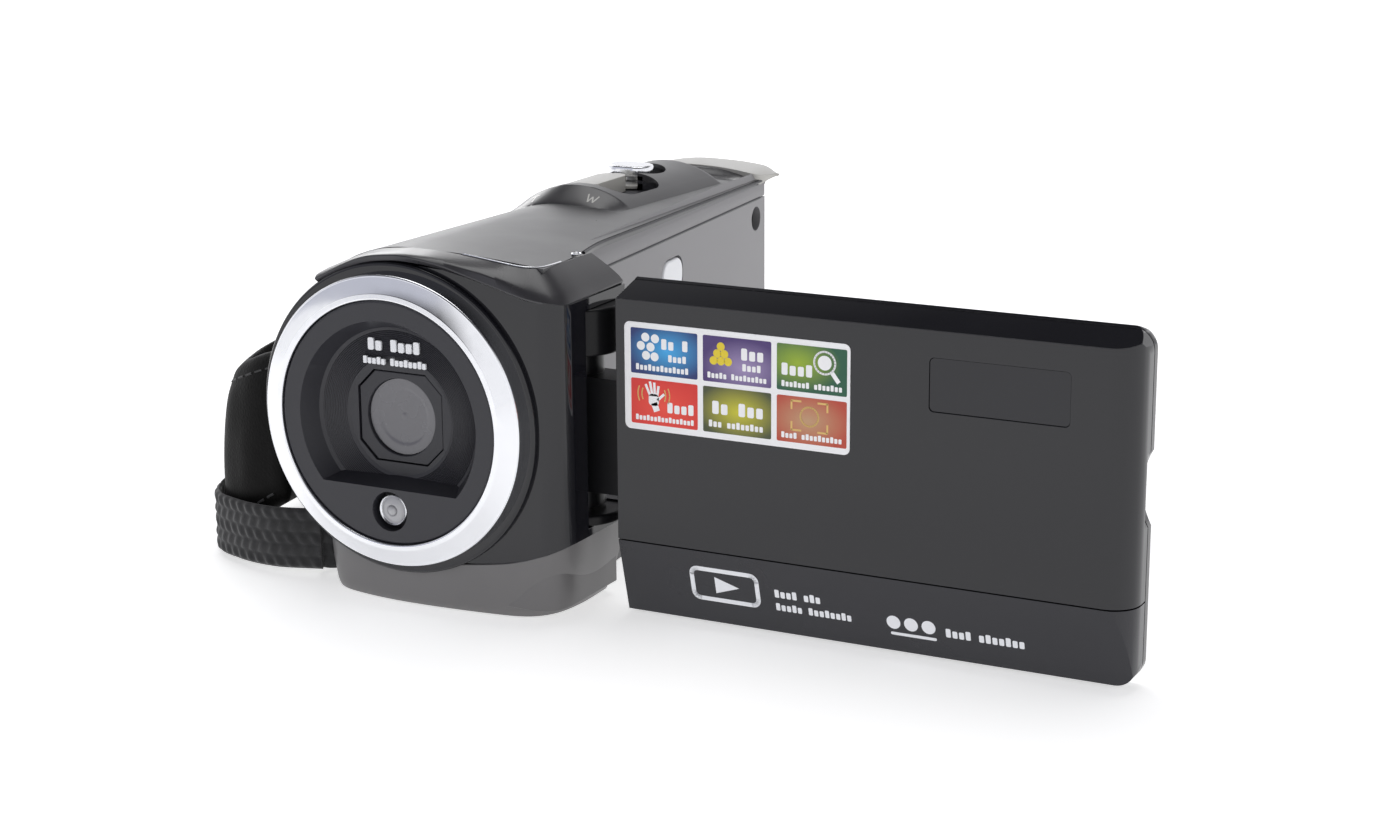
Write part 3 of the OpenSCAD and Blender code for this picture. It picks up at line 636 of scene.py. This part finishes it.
def front_cap():
    """The visor: a sheet between its front edge and the seam behind it, with a chrome wire on the seam as a
    painted highlight.
    """
    lower = spline([(-15, 2, 53.2), (-7, 2, 57.1), (-1, 2, 58.3), (4, 2, 58.2), (9, 2, 57.4), (16, 2, 55.5),
                    (23.5, 2.2, 53.5), (27.2, 3.2, 52.7), (29.4, 5.2, 52.3), (30, 9, 52.4), (30, 16, 52.6),
                    (30, 24, 52.8)], 8)
    upper = spline([(-15, 7, 54.4), (-7, 7, 57.7), (-1, 7, 58.7), (3, 7, 58.85), (7, 7, 58.75),
                    (14, 6.5, 58.2), (20.4, 6.1, 57.6), (22.8, 6.6, 57.45), (24.0, 8.6, 57.35),
                    (24.2, 12, 57.25), (24.1, 17, 57.15), (23.9, 24, 57.05)], 8)
    rows = []
    for t in np.linspace(0, 1, CAP_ROWS):
        row = lower * (1 - t) + upper * t
        # rolled over at the front, nearly level behind; flatter out on the shoulder
        side = smooth_step(16, 29, lower[:, 0])
        rise = t ** (0.36 + 0.44 * side)
        row[:, 2] = lower[:, 2] + (upper[:, 2] - lower[:, 2]) * rise
        rows.append(row)
    points = [tuple(p) for row in rows for p in row]
    cap = piece("front_cap_visor", points, rows_faces(CAP_ROWS, len(lower)), "camera_body", "satin_black",
                "front_cap")
    face_up(cap)
    thicken(cap, 1.1)
    shade(cap, 40)
    edges(cap, 0.22, 3)
    # a chrome wire along the seam behind the visor, with its little eye at the end: a painted highlight that
    # stands in for the light on the cap's rear edge
    line = [p + np.array([0, 0.15, 0.06]) for p in upper[36:76]]
    eye = [(23.3 + 0.7 * math.cos(a), 20.4 + 0.7 * math.sin(a), 57.3) for a in np.linspace(0, 5.6, 22)]
    piece("seam_trim_highlight", *join(tube(line, 0.13), tube(eye, 0.16)), "camera_body", "chrome")


def chin():
    """The grey shell under the front, lofted from the base's outline to the seam's."""
    top = [(29.6, 24.2, 13.1), (29.6, 15, 13.1), (29.5, 8, 13.1), (28.3, 4.7, 12.5), (25.4, 3.15, 11.4),
           (20, 3.05, 9.7), (12.7, 3.05, 8.5), (4, 3.05, 7.6), (-5, 3.05, 7.9), (-11, 3.5, 9.0),
           (-15, 4.8, 11), (-17, 7.4, 12), (-17.3, 12, 12.5), (-17.6, 16.8, 13), (-20.6, 18.4, 13.6),
           (-22, 24.2, 14)]
    low = [(26, 24.2, 0), (26.2, 16.5, 0), (25.4, 10.5, 0), (23.4, 7.0, 0), (20.2, 5.2, 0), (15, 4.3, 0),
           (9, 3.7, 0), (3, 3.4, 0), (-3, 3.5, 0), (-9, 4.2, 0), (-13.6, 5.4, 0), (-16, 7.6, 0),
           (-16.3, 12, 0), (-16.4, 16.8, 0), (-16.4, 18.6, 0), (-16.4, 24.2, 0)]
    top, low = spline(top, 6), spline(low, 6)
    mid = np.array([6.0, 16.0])

    def inward(ring, distance):
        """The ring moved towards the middle, in plan."""
        out = ring.copy()
        d = mid - ring[:, :2]
        out[:, :2] += d / np.linalg.norm(d, axis=1)[:, None] * distance
        return out

    rings = [inward(low, 0.7), inward(low, 0.25) + [0, 0, 0.12], low + [0, 0, 0.55]]
    for t in np.linspace(0.12, 1, 10):
        ring = low * (1 - t) + top * t
        rings.append(inward(ring, -0.35 * 4 * t * (1 - t)))
    inside = inward(top, 1.6)
    rings += [inside, np.c_[inside[:, :2], np.full(len(inside), 2.0)]]
    chin_piece = piece("chin_shell", *loft(rings), "camera_body", "chin_grey", "chin_cover")
    screw_hole = disc_outline(6, 12, 1.75, 32)
    cut(chin_piece, tool(*prism(screw_hole, -1, 1.6)))
    edges(chin_piece, 0.2, 3)


# ---- top ----

HUMP = {"front": 56.4, "back": 97.4, "ridge": 1.2, "right": 10.2, "left": 14.0, "height": 2.95}
WELL = (-11, 63, 9, 79, 4)
PIVOT = (-1, 84)
DECK = 57.1
CROWN_R = 26
PLATE_X = 21.4
PLATE_TAPER = math.tan(math.radians(4.7))


def top_line(y):
    """Height of the cover's crown, which falls towards the rear."""
    return 58.75 - 1.75 * (y - 7) / 96


def cover_edge(y):
    """The cover's left edge, on the side plate's plane once behind the front section."""
    plate = PLATE_X - (y - HINGE[1]) * PLATE_TAPER
    return plate + 2.6 * (1 - float(smooth_step(14, 36, y)))


def raised(x, y):
    """How far the zoom platform stands above the cover, less the thumb dish behind it."""
    up = float(np.clip((y - HUMP["front"]) / 4.2, 0, 1)) ** 0.9
    down = 1 - float(smooth_step(HUMP["back"] - 1.6, HUMP["back"], y))
    span = HUMP["right"] if x > HUMP["ridge"] else HUMP["left"]
    across = max(1 - ((x - HUMP["ridge"]) / span) ** 2, 0) ** 0.85
    dish = math.hypot((x - 3) / 10.5, (y - 103.2) / 5.6)
    return HUMP["height"] * up * down * across - 1.1 * (1 - float(smooth_step(0.55, 1.0, dish)))


def cover_height(x, y):
    """Height of the cover: round on the grip side, nearly level towards the plate."""
    if x < 0:
        rise = top_line(y) - LENS_Z
        base = LENS_Z + rise * math.sqrt(max(1 - (x / CROWN_R) ** 2, 0))
    else:
        base = top_line(y) - 1.45 * (x / cover_edge(y)) ** 2
    return base + raised(x, y)


def steps_between(*parts):
    """Joined runs of (start, end, count)."""
    return np.unique(np.concatenate([np.linspace(a, b, n) for a, b, n in parts]).round(4))


def top_cover():
    """The cover with its zoom platform, the lever's well and the button's seat."""
    ys = steps_between((7.2, 54, 18), (54, 61.5, 26), (61.5, 94, 16), (94, 111.3, 44))
    angles = np.linspace(math.pi - math.asin((49.2 - LENS_Z) / 26.6), math.pi / 2, 40)[:-1]
    flat_end = 11.8
    flat = np.concatenate([np.linspace(0, 9.6, 13), np.linspace(9.8, flat_end, 11)])
    shares = np.linspace(0, 1, 7)[1:]
    points = []
    for y in ys:
        xs = [CROWN_R * math.cos(a) for a in angles] + list(flat)
        xs += [flat_end + (cover_edge(y) - flat_end) * f for f in shares]
        points += [(x, y, cover_height(x, y)) for x in xs]
    cover = piece("top_cover_shell", points, rows_faces(len(ys), len(xs)), "camera_body", "satin_black",
                  "top_cover")
    face_up(cover)
    thicken(cover, 1.3)
    well = round_box(*WELL, 8)
    disc = disc_outline(*PIVOT, 6.4, 48)
    tail = arc(-5, 81, 38.2, 10, 170, 48) + arc(-4, 60, 49.8, 138, 42, 48)
    cut(cover, tool(*prism(well, DECK, 70)), tool(*prism(disc, DECK, 70)),
        tool(*prism(tail, 54.6, 70)), sharp=30)
    edges(cover, 0.18, 2, 35)
    # walls under the platform, around the lever's well and the button's seat
    x0, y0, x1, y1, r = WELL
    wall_t = 0.7
    tub = round_box(x0 - wall_t, y0 - wall_t, x1 + wall_t, y1 + wall_t, r + wall_t, 8)
    for name, outline in (("lever_tub", tub), ("button_seat", disc_outline(*PIVOT, 6.4 + wall_t, 48))):
        rings = [[(x, y, DECK - 0.9) for x, y in outline],
                 [(x, y, cover_height(x, y) - 0.5) for x, y in outline]]
        wall = piece(name, *loft(rings), "camera_body", "matte_black")
        cut(wall, tool(*prism(well, DECK, 70)), tool(*prism(disc, DECK, 70)))


def seam_lines():
    """Dark gaps above and below the strip that runs along the plate's top."""
    ys = np.linspace(24.6, 110.5, 60)
    plate_top, strip_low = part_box("side_plate")[1].z / MM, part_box("side_strip")[0].z / MM
    low_z = (plate_top + strip_low) / 2
    upper = [(cover_edge(y) + 0.1, y, cover_height(cover_edge(y), y) - 0.35) for y in ys]
    lower = [(PLATE_X + 0.05 - (y - HINGE[1]) * PLATE_TAPER, y, low_z) for y in ys if y < 109]
    piece("strip_seams", *join(tube(upper, 0.26), tube(lower, 0.24)), "camera_body", "matte_black")


def button_skirt_shade():
    """Collar under the photo button's bright cap; its matte black is painted shade for the dark under the
    cap, though its slot is chrome.
    """
    low, high = (Vector(c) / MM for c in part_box("photo_button"))
    x, y = (low.x + high.x) / 2, (low.y + high.y) / 2 - RIM_Y
    outline = round_box(x - 3.4, y - 2.2, x + 3.4, y + 2.2, 2.1, 6)
    # matte black in place of the chrome slot: painted shade under the button's cap
    piece("button_skirt_shade", *prism(outline, DECK + 1.9, high.z - 0.9), "photo_button", "chrome",
          material=MATERIALS["matte_black"])


def tail_lip():
    """Crescent that closes the top at the rear and runs out to a thin point beside the plate."""
    outer = spline([(-20.5, 107.5), (-17.5, 111.6), (-12, 115.9), (-5, 118.6), (3, 118.3), (8, 117.2),
                    (12.2, 115.5), (15.4, 113.6)], 8)
    inner = spline([(-20.3, 104.2), (-17.5, 106.2), (-12, 108.6), (-5, 109.8), (3, 109.4), (9, 107.7),
                    (13.5, 106.6), (15.2, 113.3)], 8)
    rings = []
    for k, (a, b) in enumerate(zip(inner, outer)):
        thick = 2.6 - 2.2 * float(smooth_step(0.82, 1.0, k / (len(inner) - 1)))
        ring = []
        for p, drop in ((a, 0), (a * 0.5 + b * 0.5, -0.12), (b, 0.1)):
            # a squarish round on the grip side
            bend = 0.98 * min(max(-p[0], 0) / CROWN_R, 1) ** 2.7
            rise = 25.6 * (1 - bend) ** (1 / 2.7)
            z = LENS_Z + rise - 0.55 * max(p[0] / 18, 0) ** 2 - drop
            z -= 0.9 * float(smooth_step(0.8, 1.0, k / (len(inner) - 1)))
            ring.append((p[0], p[1], z))
        ring += [(b[0], b[1], ring[2][2] - 0.35 * thick), (a[0], a[1], ring[0][2] - thick)]
        rings.append(ring)
    edges(piece("tail_lip", *loft(rings), "camera_body", "silver_paint", "tail_band", sharp=30), 0.2, 3)


def draped(outline):
    """A flat outline laid on the cover as a thin skin."""
    points = [(x, y, cover_height(x, y) + lift) for lift in (-0.05, 0.03) for x, y in outline]
    return points, slab_faces(len(outline))


def zoom_marks():
    """The T and W of the zoom lever, on the platform's front slope."""
    w = [(4.1, 59.0), (4.6, 57.4), (5.1, 58.6), (5.6, 57.4), (6.1, 59.0)]
    t = [[(-7.5, 59.0), (-5.9, 59.0)], [(-6.7, 59.0), (-6.7, 57.4)]]
    quads = stroke(w, 0.24) + [q for line in t for q in stroke(line, 0.24)]
    piece("zoom_marks", *join(*[draped(q) for q in quads]), "camera_body", "silver_paint")


# ---- prints on the screen's outside ----


def printed(name, outlines, plane, slot, material=None, lift=(0.0, 0.03)):
    """Thin raised ink: each outline is in a plane that maps (u, v, h) to a point."""
    parts = [([plane(u, v, h) for h in lift for u, v in outline], slab_faces(len(outline)))
             for outline in outlines]
    return piece(name, *join(*parts), "screen", slot, material=material, sharp=30)


def letters(u, v, height, count, gaps=()):
    """Plain blocks where the object carries words; every third one is taller."""
    pitch = height * 0.72
    out = []
    for k in range(count):
        if k in gaps:
            continue
        low = u + k * pitch
        top = v + height * (0.8 if k % 3 else 1)
        out.append(round_box(low, v, low + pitch * 0.74, top, height * 0.12, 2))
    return out


def face_plane(u, v, h):
    """A point on the screen cover's outer face, h above the label."""
    return (u, FACE_Y - 0.15 - h, v)


STRIP_RUN = 3.4
STRIP_LOW = 0.5


def strip_plane(u, v, h):
    """A point on the leaning strip under the screen cover, h above it."""
    t = (SEAM_Z - v) / (SEAM_Z - STRIP_LOW)
    lean = math.atan2(STRIP_RUN, SEAM_Z - STRIP_LOW)
    return (u, FACE_Y + STRIP_RUN * t - h * math.cos(lean), v - h * math.sin(lean))


def strip_prints():
    """White marks along the strip: an icon, rows of blocks, three dots and a bar."""
    icon = stroke(round_box(47.2, 4.7, 58.6, 10.0, 1.1, 4), 0.75, closed=True)
    icon += [[(51.2, 5.9), (55.4, 7.35), (51.2, 8.8)]]
    prints = icon + letters(61.6, 6.8, 1.4, 8, gaps=(4,)) + letters(61.6, 4.5, 1.3, 14, gaps=(5,))
    dots = [disc_outline(81.6 + 2.9 * k, 5.6, 1.15) for k in range(3)]
    bar = [round_box(81.0, 3.4, 88.6, 3.9, 0.2, 2)]
    prints += dots + bar + letters(90.2, 4.4, 1.5, 12, gaps=(4,))
    printed("strip_prints", prints, strip_plane, "white_key", lift=(-0.02, 0.03))


TILES = [
    ("blue", (0.012, 0.03, 0.16), (0.05, 0.42, 0.85), (0.55, 0.55)),
    ("purple", (0.07, 0.035, 0.17), (0.36, 0.28, 0.50), (0.6, 0.35)),
    ("green", (0.012, 0.10, 0.05), (0.32, 0.46, 0.02), (0.3, 0.62)),
    ("red", (0.72, 0.03, 0.022), (0.90, 0.07, 0.04), (0.5, 0.4)),
    ("olive", (0.06, 0.075, 0.03), (0.62, 0.58, 0.03), (0.52, 0.5)),
    ("orange", (0.50, 0.06, 0.03), (0.55, 0.33, 0.18), (0.45, 0.5)),
]


TILE_W, TILE_H = 11.7, 7.3
MARK_LIFT = (0.0, 0.035)


def tile_corner(k):
    """Lower left corner of a tile, in x and z; the tiles lie in two rows of three."""
    return 37.4 + 12.65 * (k % 3), (41.0 if k < 3 else 32.9)


def sticker():
    """The white label with its six coloured tiles."""
    low, high = (Vector(c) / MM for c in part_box("sticker"))
    face = low.y - RIM_Y
    outline = round_box(low.x, low.z, high.x, high.z, 1.0, 6)
    label = piece("sticker_label", *prism(outline, face, face + 0.15, "y"), "screen", "sticker_print",
                  "sticker")
    edges(label, 0.03, 2)
    for k, (name, rim, glow, centre) in enumerate(TILES):
        x, z = tile_corner(k)
        printed("sticker_tile_" + name, [round_box(x, z, x + TILE_W, z + TILE_H, 0.25, 3)], face_plane,
                "sticker_print", glow_tile("tile_" + name, rim, glow, centre), (-0.02, 0.02))


# rows of blocks: tile, place in the tile, height, number and gaps
TILE_WORDS = [
    (0, 5.4, 4.2, 1.7, 4, (2,)), (0, 6.6, 2.3, 1.15, 4, ()), (0, 0.9, 0.6, 1.0, 13, ()),
    (1, 6.6, 3.9, 1.9, 3, ()), (1, 6.8, 2.2, 1.15, 4, ()), (1, 0.8, 0.6, 0.95, 15, (5,)),
    (2, 0.8, 2.4, 1.9, 4, ()), (2, 0.8, 0.6, 0.95, 15, (7,)),
    (3, 6.4, 2.2, 1.7, 4, ()), (3, 0.8, 0.6, 0.9, 16, ()),
    (4, 1.6, 3.0, 2.1, 6, (2,)), (4, 1.0, 0.9, 1.1, 12, (3,)),
    (5, 0.8, 0.6, 0.95, 15, (4,)),
]


def sticker_icons():
    """Marks on the tiles: blocks for words, spots, a magnifier, a hand, a triangle of dots, a frame."""
    white = []
    for tile, u, v, height, count, gaps in TILE_WORDS:
        x, z = tile_corner(tile)
        white += letters(x + u, z + v, height, count, gaps)
    x, z = tile_corner(0)
    spots = [(2.6, 5.9), (4.3, 5.8), (1.8, 4.5), (3.5, 4.4), (2.7, 3.0), (4.2, 2.9)]
    white += [disc_outline(x + u, z + v, 0.72, 16) for u, v in spots]
    x, z = tile_corner(2)
    white += stroke(disc_outline(x + 8.0, z + 4.9, 1.75, 24), 0.32, closed=True)
    white += [disc_outline(x + 8.0, z + 4.9, 1.15, 20)]
    white += stroke([(x + 9.3, z + 3.4), (x + 10.3, z + 2.1)], 0.7)
    # a hand: palm, four fingers, thumb and wrist
    x, z = tile_corner(3)
    white += [round_box(x + 3.1, z + 3.1, x + 4.9, z + 5.0, 0.6, 4)]
    for k, reach in enumerate((6.4, 6.9, 6.8, 6.3)):
        white += stroke([(x + 3.35 + 0.42 * k, z + 4.7), (x + 2.6 + 0.75 * k, z + reach)], 0.42)
    white += stroke([(x + 4.7, z + 4.1), (x + 5.8, z + 5.1)], 0.42)
    white += stroke([(x + 4.1, z + 3.4), (x + 4.5, z + 2.4)], 1.1)
    printed("sticker_marks", white, face_plane, "sticker_print", lift=MARK_LIFT)
    gold = []
    for start in (155, -25):
        for r in (2.1, 2.8):
            gold += stroke(arc(x + 4.0, z + 4.9, r, start, start + 50, 6), 0.2)
    x, z = tile_corner(1)
    yellow = [disc_outline(x + 3.1 + 1.25 * (k - row / 2), z + 5.7 - 1.15 * row, 0.68, 16)
              for row in range(3) for k in range(row + 1)]
    printed("sticker_dots", yellow, face_plane, "sticker_print", ink("ink_yellow", (0.80, 0.62, 0.03)),
            MARK_LIFT)
    x, z = tile_corner(5)
    x, z = x + 5.5, z + 4.3
    for sx in (-1, 1):
        for sz in (-1, 1):
            cx, cz = x + 3.0 * sx, z + 2.3 * sz
            gold += stroke([(cx - 1.6 * sx, cz), (cx, cz), (cx, cz - 1.3 * sz)], 0.3)
    gold += stroke(disc_outline(x, z, 1.5, 24), 0.28, closed=True)
    printed("sticker_frame", gold, face_plane, "sticker_print", ink("ink_gold", (0.75, 0.50, 0.16)),
            MARK_LIFT)


def lens_marks():
    """Plain blocks in place of the two rows of words above the lens."""
    rows = [(-5.2, 42.5, 2.0, 7, (2,)), (-6.2, 40.2, 1.2, 14, (5,))]
    outlines = [o for u, v, h, count, gaps in rows for o in letters(u, v, h, count, gaps=gaps)]
    parts = [prism(o, DISH_FLOOR - 0.9, DISH_FLOOR - 0.52, "y") for o in outlines]
    piece("lens_marks", *join(*parts), "camera_body", "white_key")


# ---- hand strap ----

PAD_T = 4.2
PAD_ROUTE = [(-28.2, 9), (-38, 10.5), (-45, 15.5), (-48, 27), (-49.5, 45), (-49.5, 62), (-47, 80),
             (-40.5, 92.5), (-31, 97.5)]
PAD_TOPS = [38.5, 35.5, 33, 34, 36, 37, 37, 35, 32]
PAD_BOTTOMS = [12, 6, 3, 2.5, 3, 4, 6, 9, 14]
WEB_ROUTE = [(-20.2, 7.9), (-29, 6.4), (-38.4, 8.6), (-46.5, 14), (-49.9, 26), (-51.4, 45), (-51.4, 62),
             (-49, 81), (-42, 95.5), (-31.5, 102), (-26, 104)]
WEB_BOTTOMS = [1.5, 1.2, 0.8, 0.5, 2, 7, 12, 15, 17, 17, 17]
WEB_T = 1.5
WEB_H = 10.6
ANCHOR = (-20.2, 12)
STITCHED = (0.1, 0.9)
STITCH_PITCH, STITCH = 2.6, 1.7


def route_frames(route, per_span):
    """Points along a plan route with the unit normal that points inwards, and the length so far."""
    line = spline(route, per_span)
    t = np.gradient(line, axis=0)
    t /= np.linalg.norm(t, axis=1)[:, None]
    inward = np.c_[t[:, 1], -t[:, 0]]
    run = np.r_[0, np.cumsum(np.linalg.norm(np.diff(line, axis=0), axis=1))]
    return line, inward, run


def pad_lean(y, t):
    """How far the pad leans inwards at height share t; it stands upright at its front end."""
    return (2 + 7 * float(smooth_step(24, 66, y))) * max((t - 0.3) / 0.7, 0) ** 2


def crown(level):
    """Share of the pad's full thickness at a height share, for its rounded long edges."""
    return (1 - abs(2 * level - 1) ** 5) ** 0.5


def strap_pad():
    """The padded leatherette under the webbing, and its two rows of stitches."""
    line, inward, run = route_frames(PAD_ROUTE, 14)
    bottoms = spline([(b,) for b in PAD_BOTTOMS], 14)[:, 0]
    tops = spline([(b,) for b in PAD_TOPS], 14)[:, 0]
    rows = 22
    rings = []
    for k, (p, n) in enumerate(zip(line, inward)):
        end = min(run[k], run[-1] - run[k])
        full = math.sqrt(1 - (1 - min(end / 2.2, 1)) ** 2) * 0.85 + 0.15
        outer, inner = [], []
        for r in range(rows + 1):
            t = 0.5 - 0.5 * math.cos(math.pi * r / rows)
            lean = pad_lean(p[1], t)
            half = PAD_T / 2 * full * crown(t)
            # sewn channels press the padding in near both edges
            pinch = 0.35 * sum(math.exp(-((t - level) / 0.022) ** 2) for level in STITCHED)
            crease = 0.12 * math.sin(run[k] * 0.55 + 3 * t) * math.sin(math.pi * t)
            z = bottoms[k] + (tops[k] - bottoms[k]) * t
            depth = PAD_T / 2 + lean
            a = p + n * (depth - half + min(pinch, half) + crease)
            b = p + n * (depth + half)
            outer.append((a[0], a[1], z))
            inner.append((b[0], b[1], z))
        rings.append(outer + inner[-2:0:-1])
    pad = piece("strap_pad_padded", *loft(rings), "camera_body", "strap_leather", "strap_pad", sharp=180)
    smooth = pad.modifiers.new("smooth", "SUBSURF")
    smooth.levels = smooth.render_levels = 1
    stitches = []
    for level in STITCHED:
        track = []
        for k, (p, n) in enumerate(zip(line, inward)):
            lean = pad_lean(p[1], level)
            q = p + n * (PAD_T / 2 * (1 - crown(level)) + lean + 0.22)
            track.append((q[0], q[1], bottoms[k] + (tops[k] - bottoms[k]) * level))
        track = np.array(track)
        length = np.r_[0, np.cumsum(np.linalg.norm(np.diff(track, axis=0), axis=1))]
        for s in np.arange(3, length[-1] - 3, STITCH_PITCH):
            along = [s, s + STITCH / 2, s + STITCH]
            stitches.append(tube(np.transpose([np.interp(along, length, axis) for axis in track.T]), 0.22, 6))
    piece("strap_stitches", *join(*stitches), "camera_body", "strap_nylon")


def rib_relief(s, t):
    """Chain-like relief of the webbing at length s and height share t, in five ribs."""
    band = min(t, 0.9999) * 5
    index, f = math.floor(band), band - math.floor(band)
    turn = 1 if index % 2 else -1
    chain = 0.55 + 0.45 * math.sin(2 * math.pi * (s / 2.3 + turn * 0.42 * f))
    return 0.34 * math.sin(math.pi * f) ** 0.6 * chain


def strap_webbing():
    """The ribbed band outside the pad, and its loop around the front anchor."""
    line, inward, run = route_frames(WEB_ROUTE, 40)
    bottoms = spline([(b,) for b in WEB_BOTTOMS], 40)[:, 0]
    rows = 40
    rings = []
    for k, (p, n) in enumerate(zip(line, inward)):
        outer, inner = [], []
        for r in range(rows + 1):
            t = r / rows
            edge = 0.5 * (1 - min(1, min(t, 1 - t) / 0.06)) ** 2
            relief = rib_relief(run[k], t)
            z = bottoms[k] + WEB_H * t
            a = p + n * (0.4 + edge - relief)
            b = p + n * (WEB_T - 0.25 - edge + relief * 0.5)
            outer.append((a[0], a[1], z))
            inner.append((b[0], b[1], z))
        rings.append(outer + inner[::-1])
    steps, rows, low, inner_r, outer_r = 72, 30, 1.6, 1.6, 2.75
    points = []
    for a in np.linspace(0, 2 * math.pi, steps + 1)[:-1]:
        section = [(outer_r + rib_relief(3.1 * a, r / rows), low + WEB_H * r / rows) for r in range(rows + 1)]
        section += [(inner_r, low + WEB_H), (inner_r, low)]
        points += [(ANCHOR[0] + d * math.cos(a), ANCHOR[1] + d * math.sin(a), z) for d, z in section]
    loop = points, wheel_faces(steps, rows + 3)
    piece("strap_webbing_ribbed", *join(loft(rings), loop), "camera_body", "strap_nylon", "strap_webbing",
          sharp=60)


# ---- camera, lights and floor ----


def camera():
    """In front on the screen's side, set by azimuth, elevation, roll, distance and aim."""
    az, el, roll = math.radians(26.98), math.radians(14.65), math.radians(-0.30)
    target = np.array([55.78, 0, 38.23])
    distance = 399.9
    back = np.array([math.sin(az) * math.cos(el), -math.cos(az) * math.cos(el), math.sin(el)])
    right = np.array([math.cos(az), math.sin(az), 0])
    up = np.cross(back, right)
    right, up = (right * math.cos(roll) + up * math.sin(roll), up * math.cos(roll) - right * math.sin(roll))
    data = bpy.data.cameras.new("camera")
    data.lens = 68.42
    data.sensor_width = 36
    data.clip_start, data.clip_end = 0.01, 20
    cam = bpy.data.objects.new("camera", data)
    bpy.context.scene.collection.objects.link(cam)
    turn = Matrix([[right[k], up[k], back[k]] for k in range(3)]).to_4x4()
    turn.translation = Vector(place(target + back * distance))
    cam.matrix_world = turn
    bpy.context.scene.camera = cam


def world():
    """Pale backdrop low down and a dim ceiling, white to the camera itself."""
    w = bpy.data.worlds.new("studio")
    bpy.context.scene.world = w
    w.use_nodes = True
    tree = w.node_tree
    tree.nodes.clear()
    link = tree.links.new
    where = add(tree, "ShaderNodeTexCoord")
    split = add(tree, "ShaderNodeSeparateXYZ")
    link(where.outputs["Generated"], split.inputs[0])
    ramp = add(tree, "ShaderNodeValToRGB")
    stops = ramp.color_ramp.elements
    stops[0].position, stops[0].color = 0.43, (1.0, 1.0, 1.02, 1)
    stops[1].position, stops[1].color = 0.66, (0.06, 0.06, 0.065, 1)
    link(split.outputs["Z"], ramp.inputs["Fac"])

    def product(first, second):
        both = add(tree, "ShaderNodeMath", operation="MULTIPLY")
        link(first, both.inputs[0])
        link(second, both.inputs[1])
        return both.outputs[0]

    # a dimmer part on the camera's left: the brushed ring shows where it ends
    side = add(tree, "ShaderNodeMapRange", interpolation_type="SMOOTHSTEP",
               **{"From Min": -0.10, "From Max": -0.20})
    link(split.outputs["X"], side.inputs["Value"])
    front = add(tree, "ShaderNodeMath", operation="LESS_THAN")
    front.inputs[1].default_value = -0.3
    link(split.outputs["Y"], front.inputs[0])
    low = add(tree, "ShaderNodeMapRange", **{"From Min": 0.75, "From Max": 0.60})
    link(split.outputs["Z"], low.inputs["Value"])
    dim = add(tree, "ShaderNodeMixRGB", blend_type="MIX", Color2=(0.55, 0.56, 0.63, 1))
    link(product(product(side.outputs["Result"], front.outputs[0]), low.outputs["Result"]), dim.inputs["Fac"])
    link(ramp.outputs["Color"], dim.inputs["Color1"])
    light = add(tree, "ShaderNodeBackground", Strength=1.0)
    link(dim.outputs["Color"], light.inputs["Color"])
    plain = add(tree, "ShaderNodeBackground", Strength=1.0, Color=(1, 1, 1, 1))
    seen = add(tree, "ShaderNodeLightPath")
    mix = add(tree, "ShaderNodeMixShader")
    link(seen.outputs["Is Camera Ray"], mix.inputs["Fac"])
    link(light.outputs[0], mix.inputs[1])
    link(plain.outputs[0], mix.inputs[2])
    link(mix.outputs[0], add(tree, "ShaderNodeOutputWorld").inputs["Surface"])


def floor():
    """White ground just under the base."""
    mesh = bpy.data.meshes.new("floor")
    half = 4.0
    corners = [(-half, -half, 0), (half, -half, 0), (half, half, 0), (-half, half, 0)]
    mesh.from_pydata(corners, [], [(0, 1, 2, 3)])
    ground = bpy.data.objects.new("floor", mesh)
    ground.location.z = -0.0002
    bpy.context.scene.collection.objects.link(ground)
    m, tree, shader = new_material("paper_floor")
    tint(tree, shader, (0.92, 0.92, 0.92), noise(tree, 3), 0.01)
    shader.inputs["Roughness"].default_value = 0.9
    shader.inputs["Emission Color"].default_value = (1, 1, 1, 1)
    shader.inputs["Emission Strength"].default_value = 0.55
    ground.data.materials.append(m)


def softbox(name, where, aim, size, watts):
    """A rectangular area light, in metres and watts."""
    data = bpy.data.lights.new(name, "AREA")
    data.shape = "RECTANGLE"
    data.size, data.size_y = size
    data.energy = watts
    obj = bpy.data.objects.new(name, data)
    obj.location = where
    obj.rotation_mode = "QUATERNION"
    obj.rotation_quaternion = (Vector(aim) - Vector(where)).to_track_quat("-Z", "Y")
    bpy.context.scene.collection.objects.link(obj)


def lights():
    centre = (0.03, 0.0, 0.03)
    softbox("overhead", (-0.1, 0.25, 1.2), centre, (0.9, 0.9), 6)
    softbox("behind_left", (-0.9, 0.9, 0.55), centre, (0.5, 0.5), 3)


chrome_ring()
lens_bezel()
lens_window()
lamp()
lens_marks()
front_shell()
front_cap()
chin()
top_cover()
tail_lip()
seam_lines()
button_skirt_shade()
zoom_marks()
sticker()
sticker_icons()
strip_prints()
strap_pad()
strap_webbing()
camera()
world()
floor()
lights()
bpy.context.scene.view_settings.view_transform = "Standard"
bpy.context.scene.view_settings.look = "None"
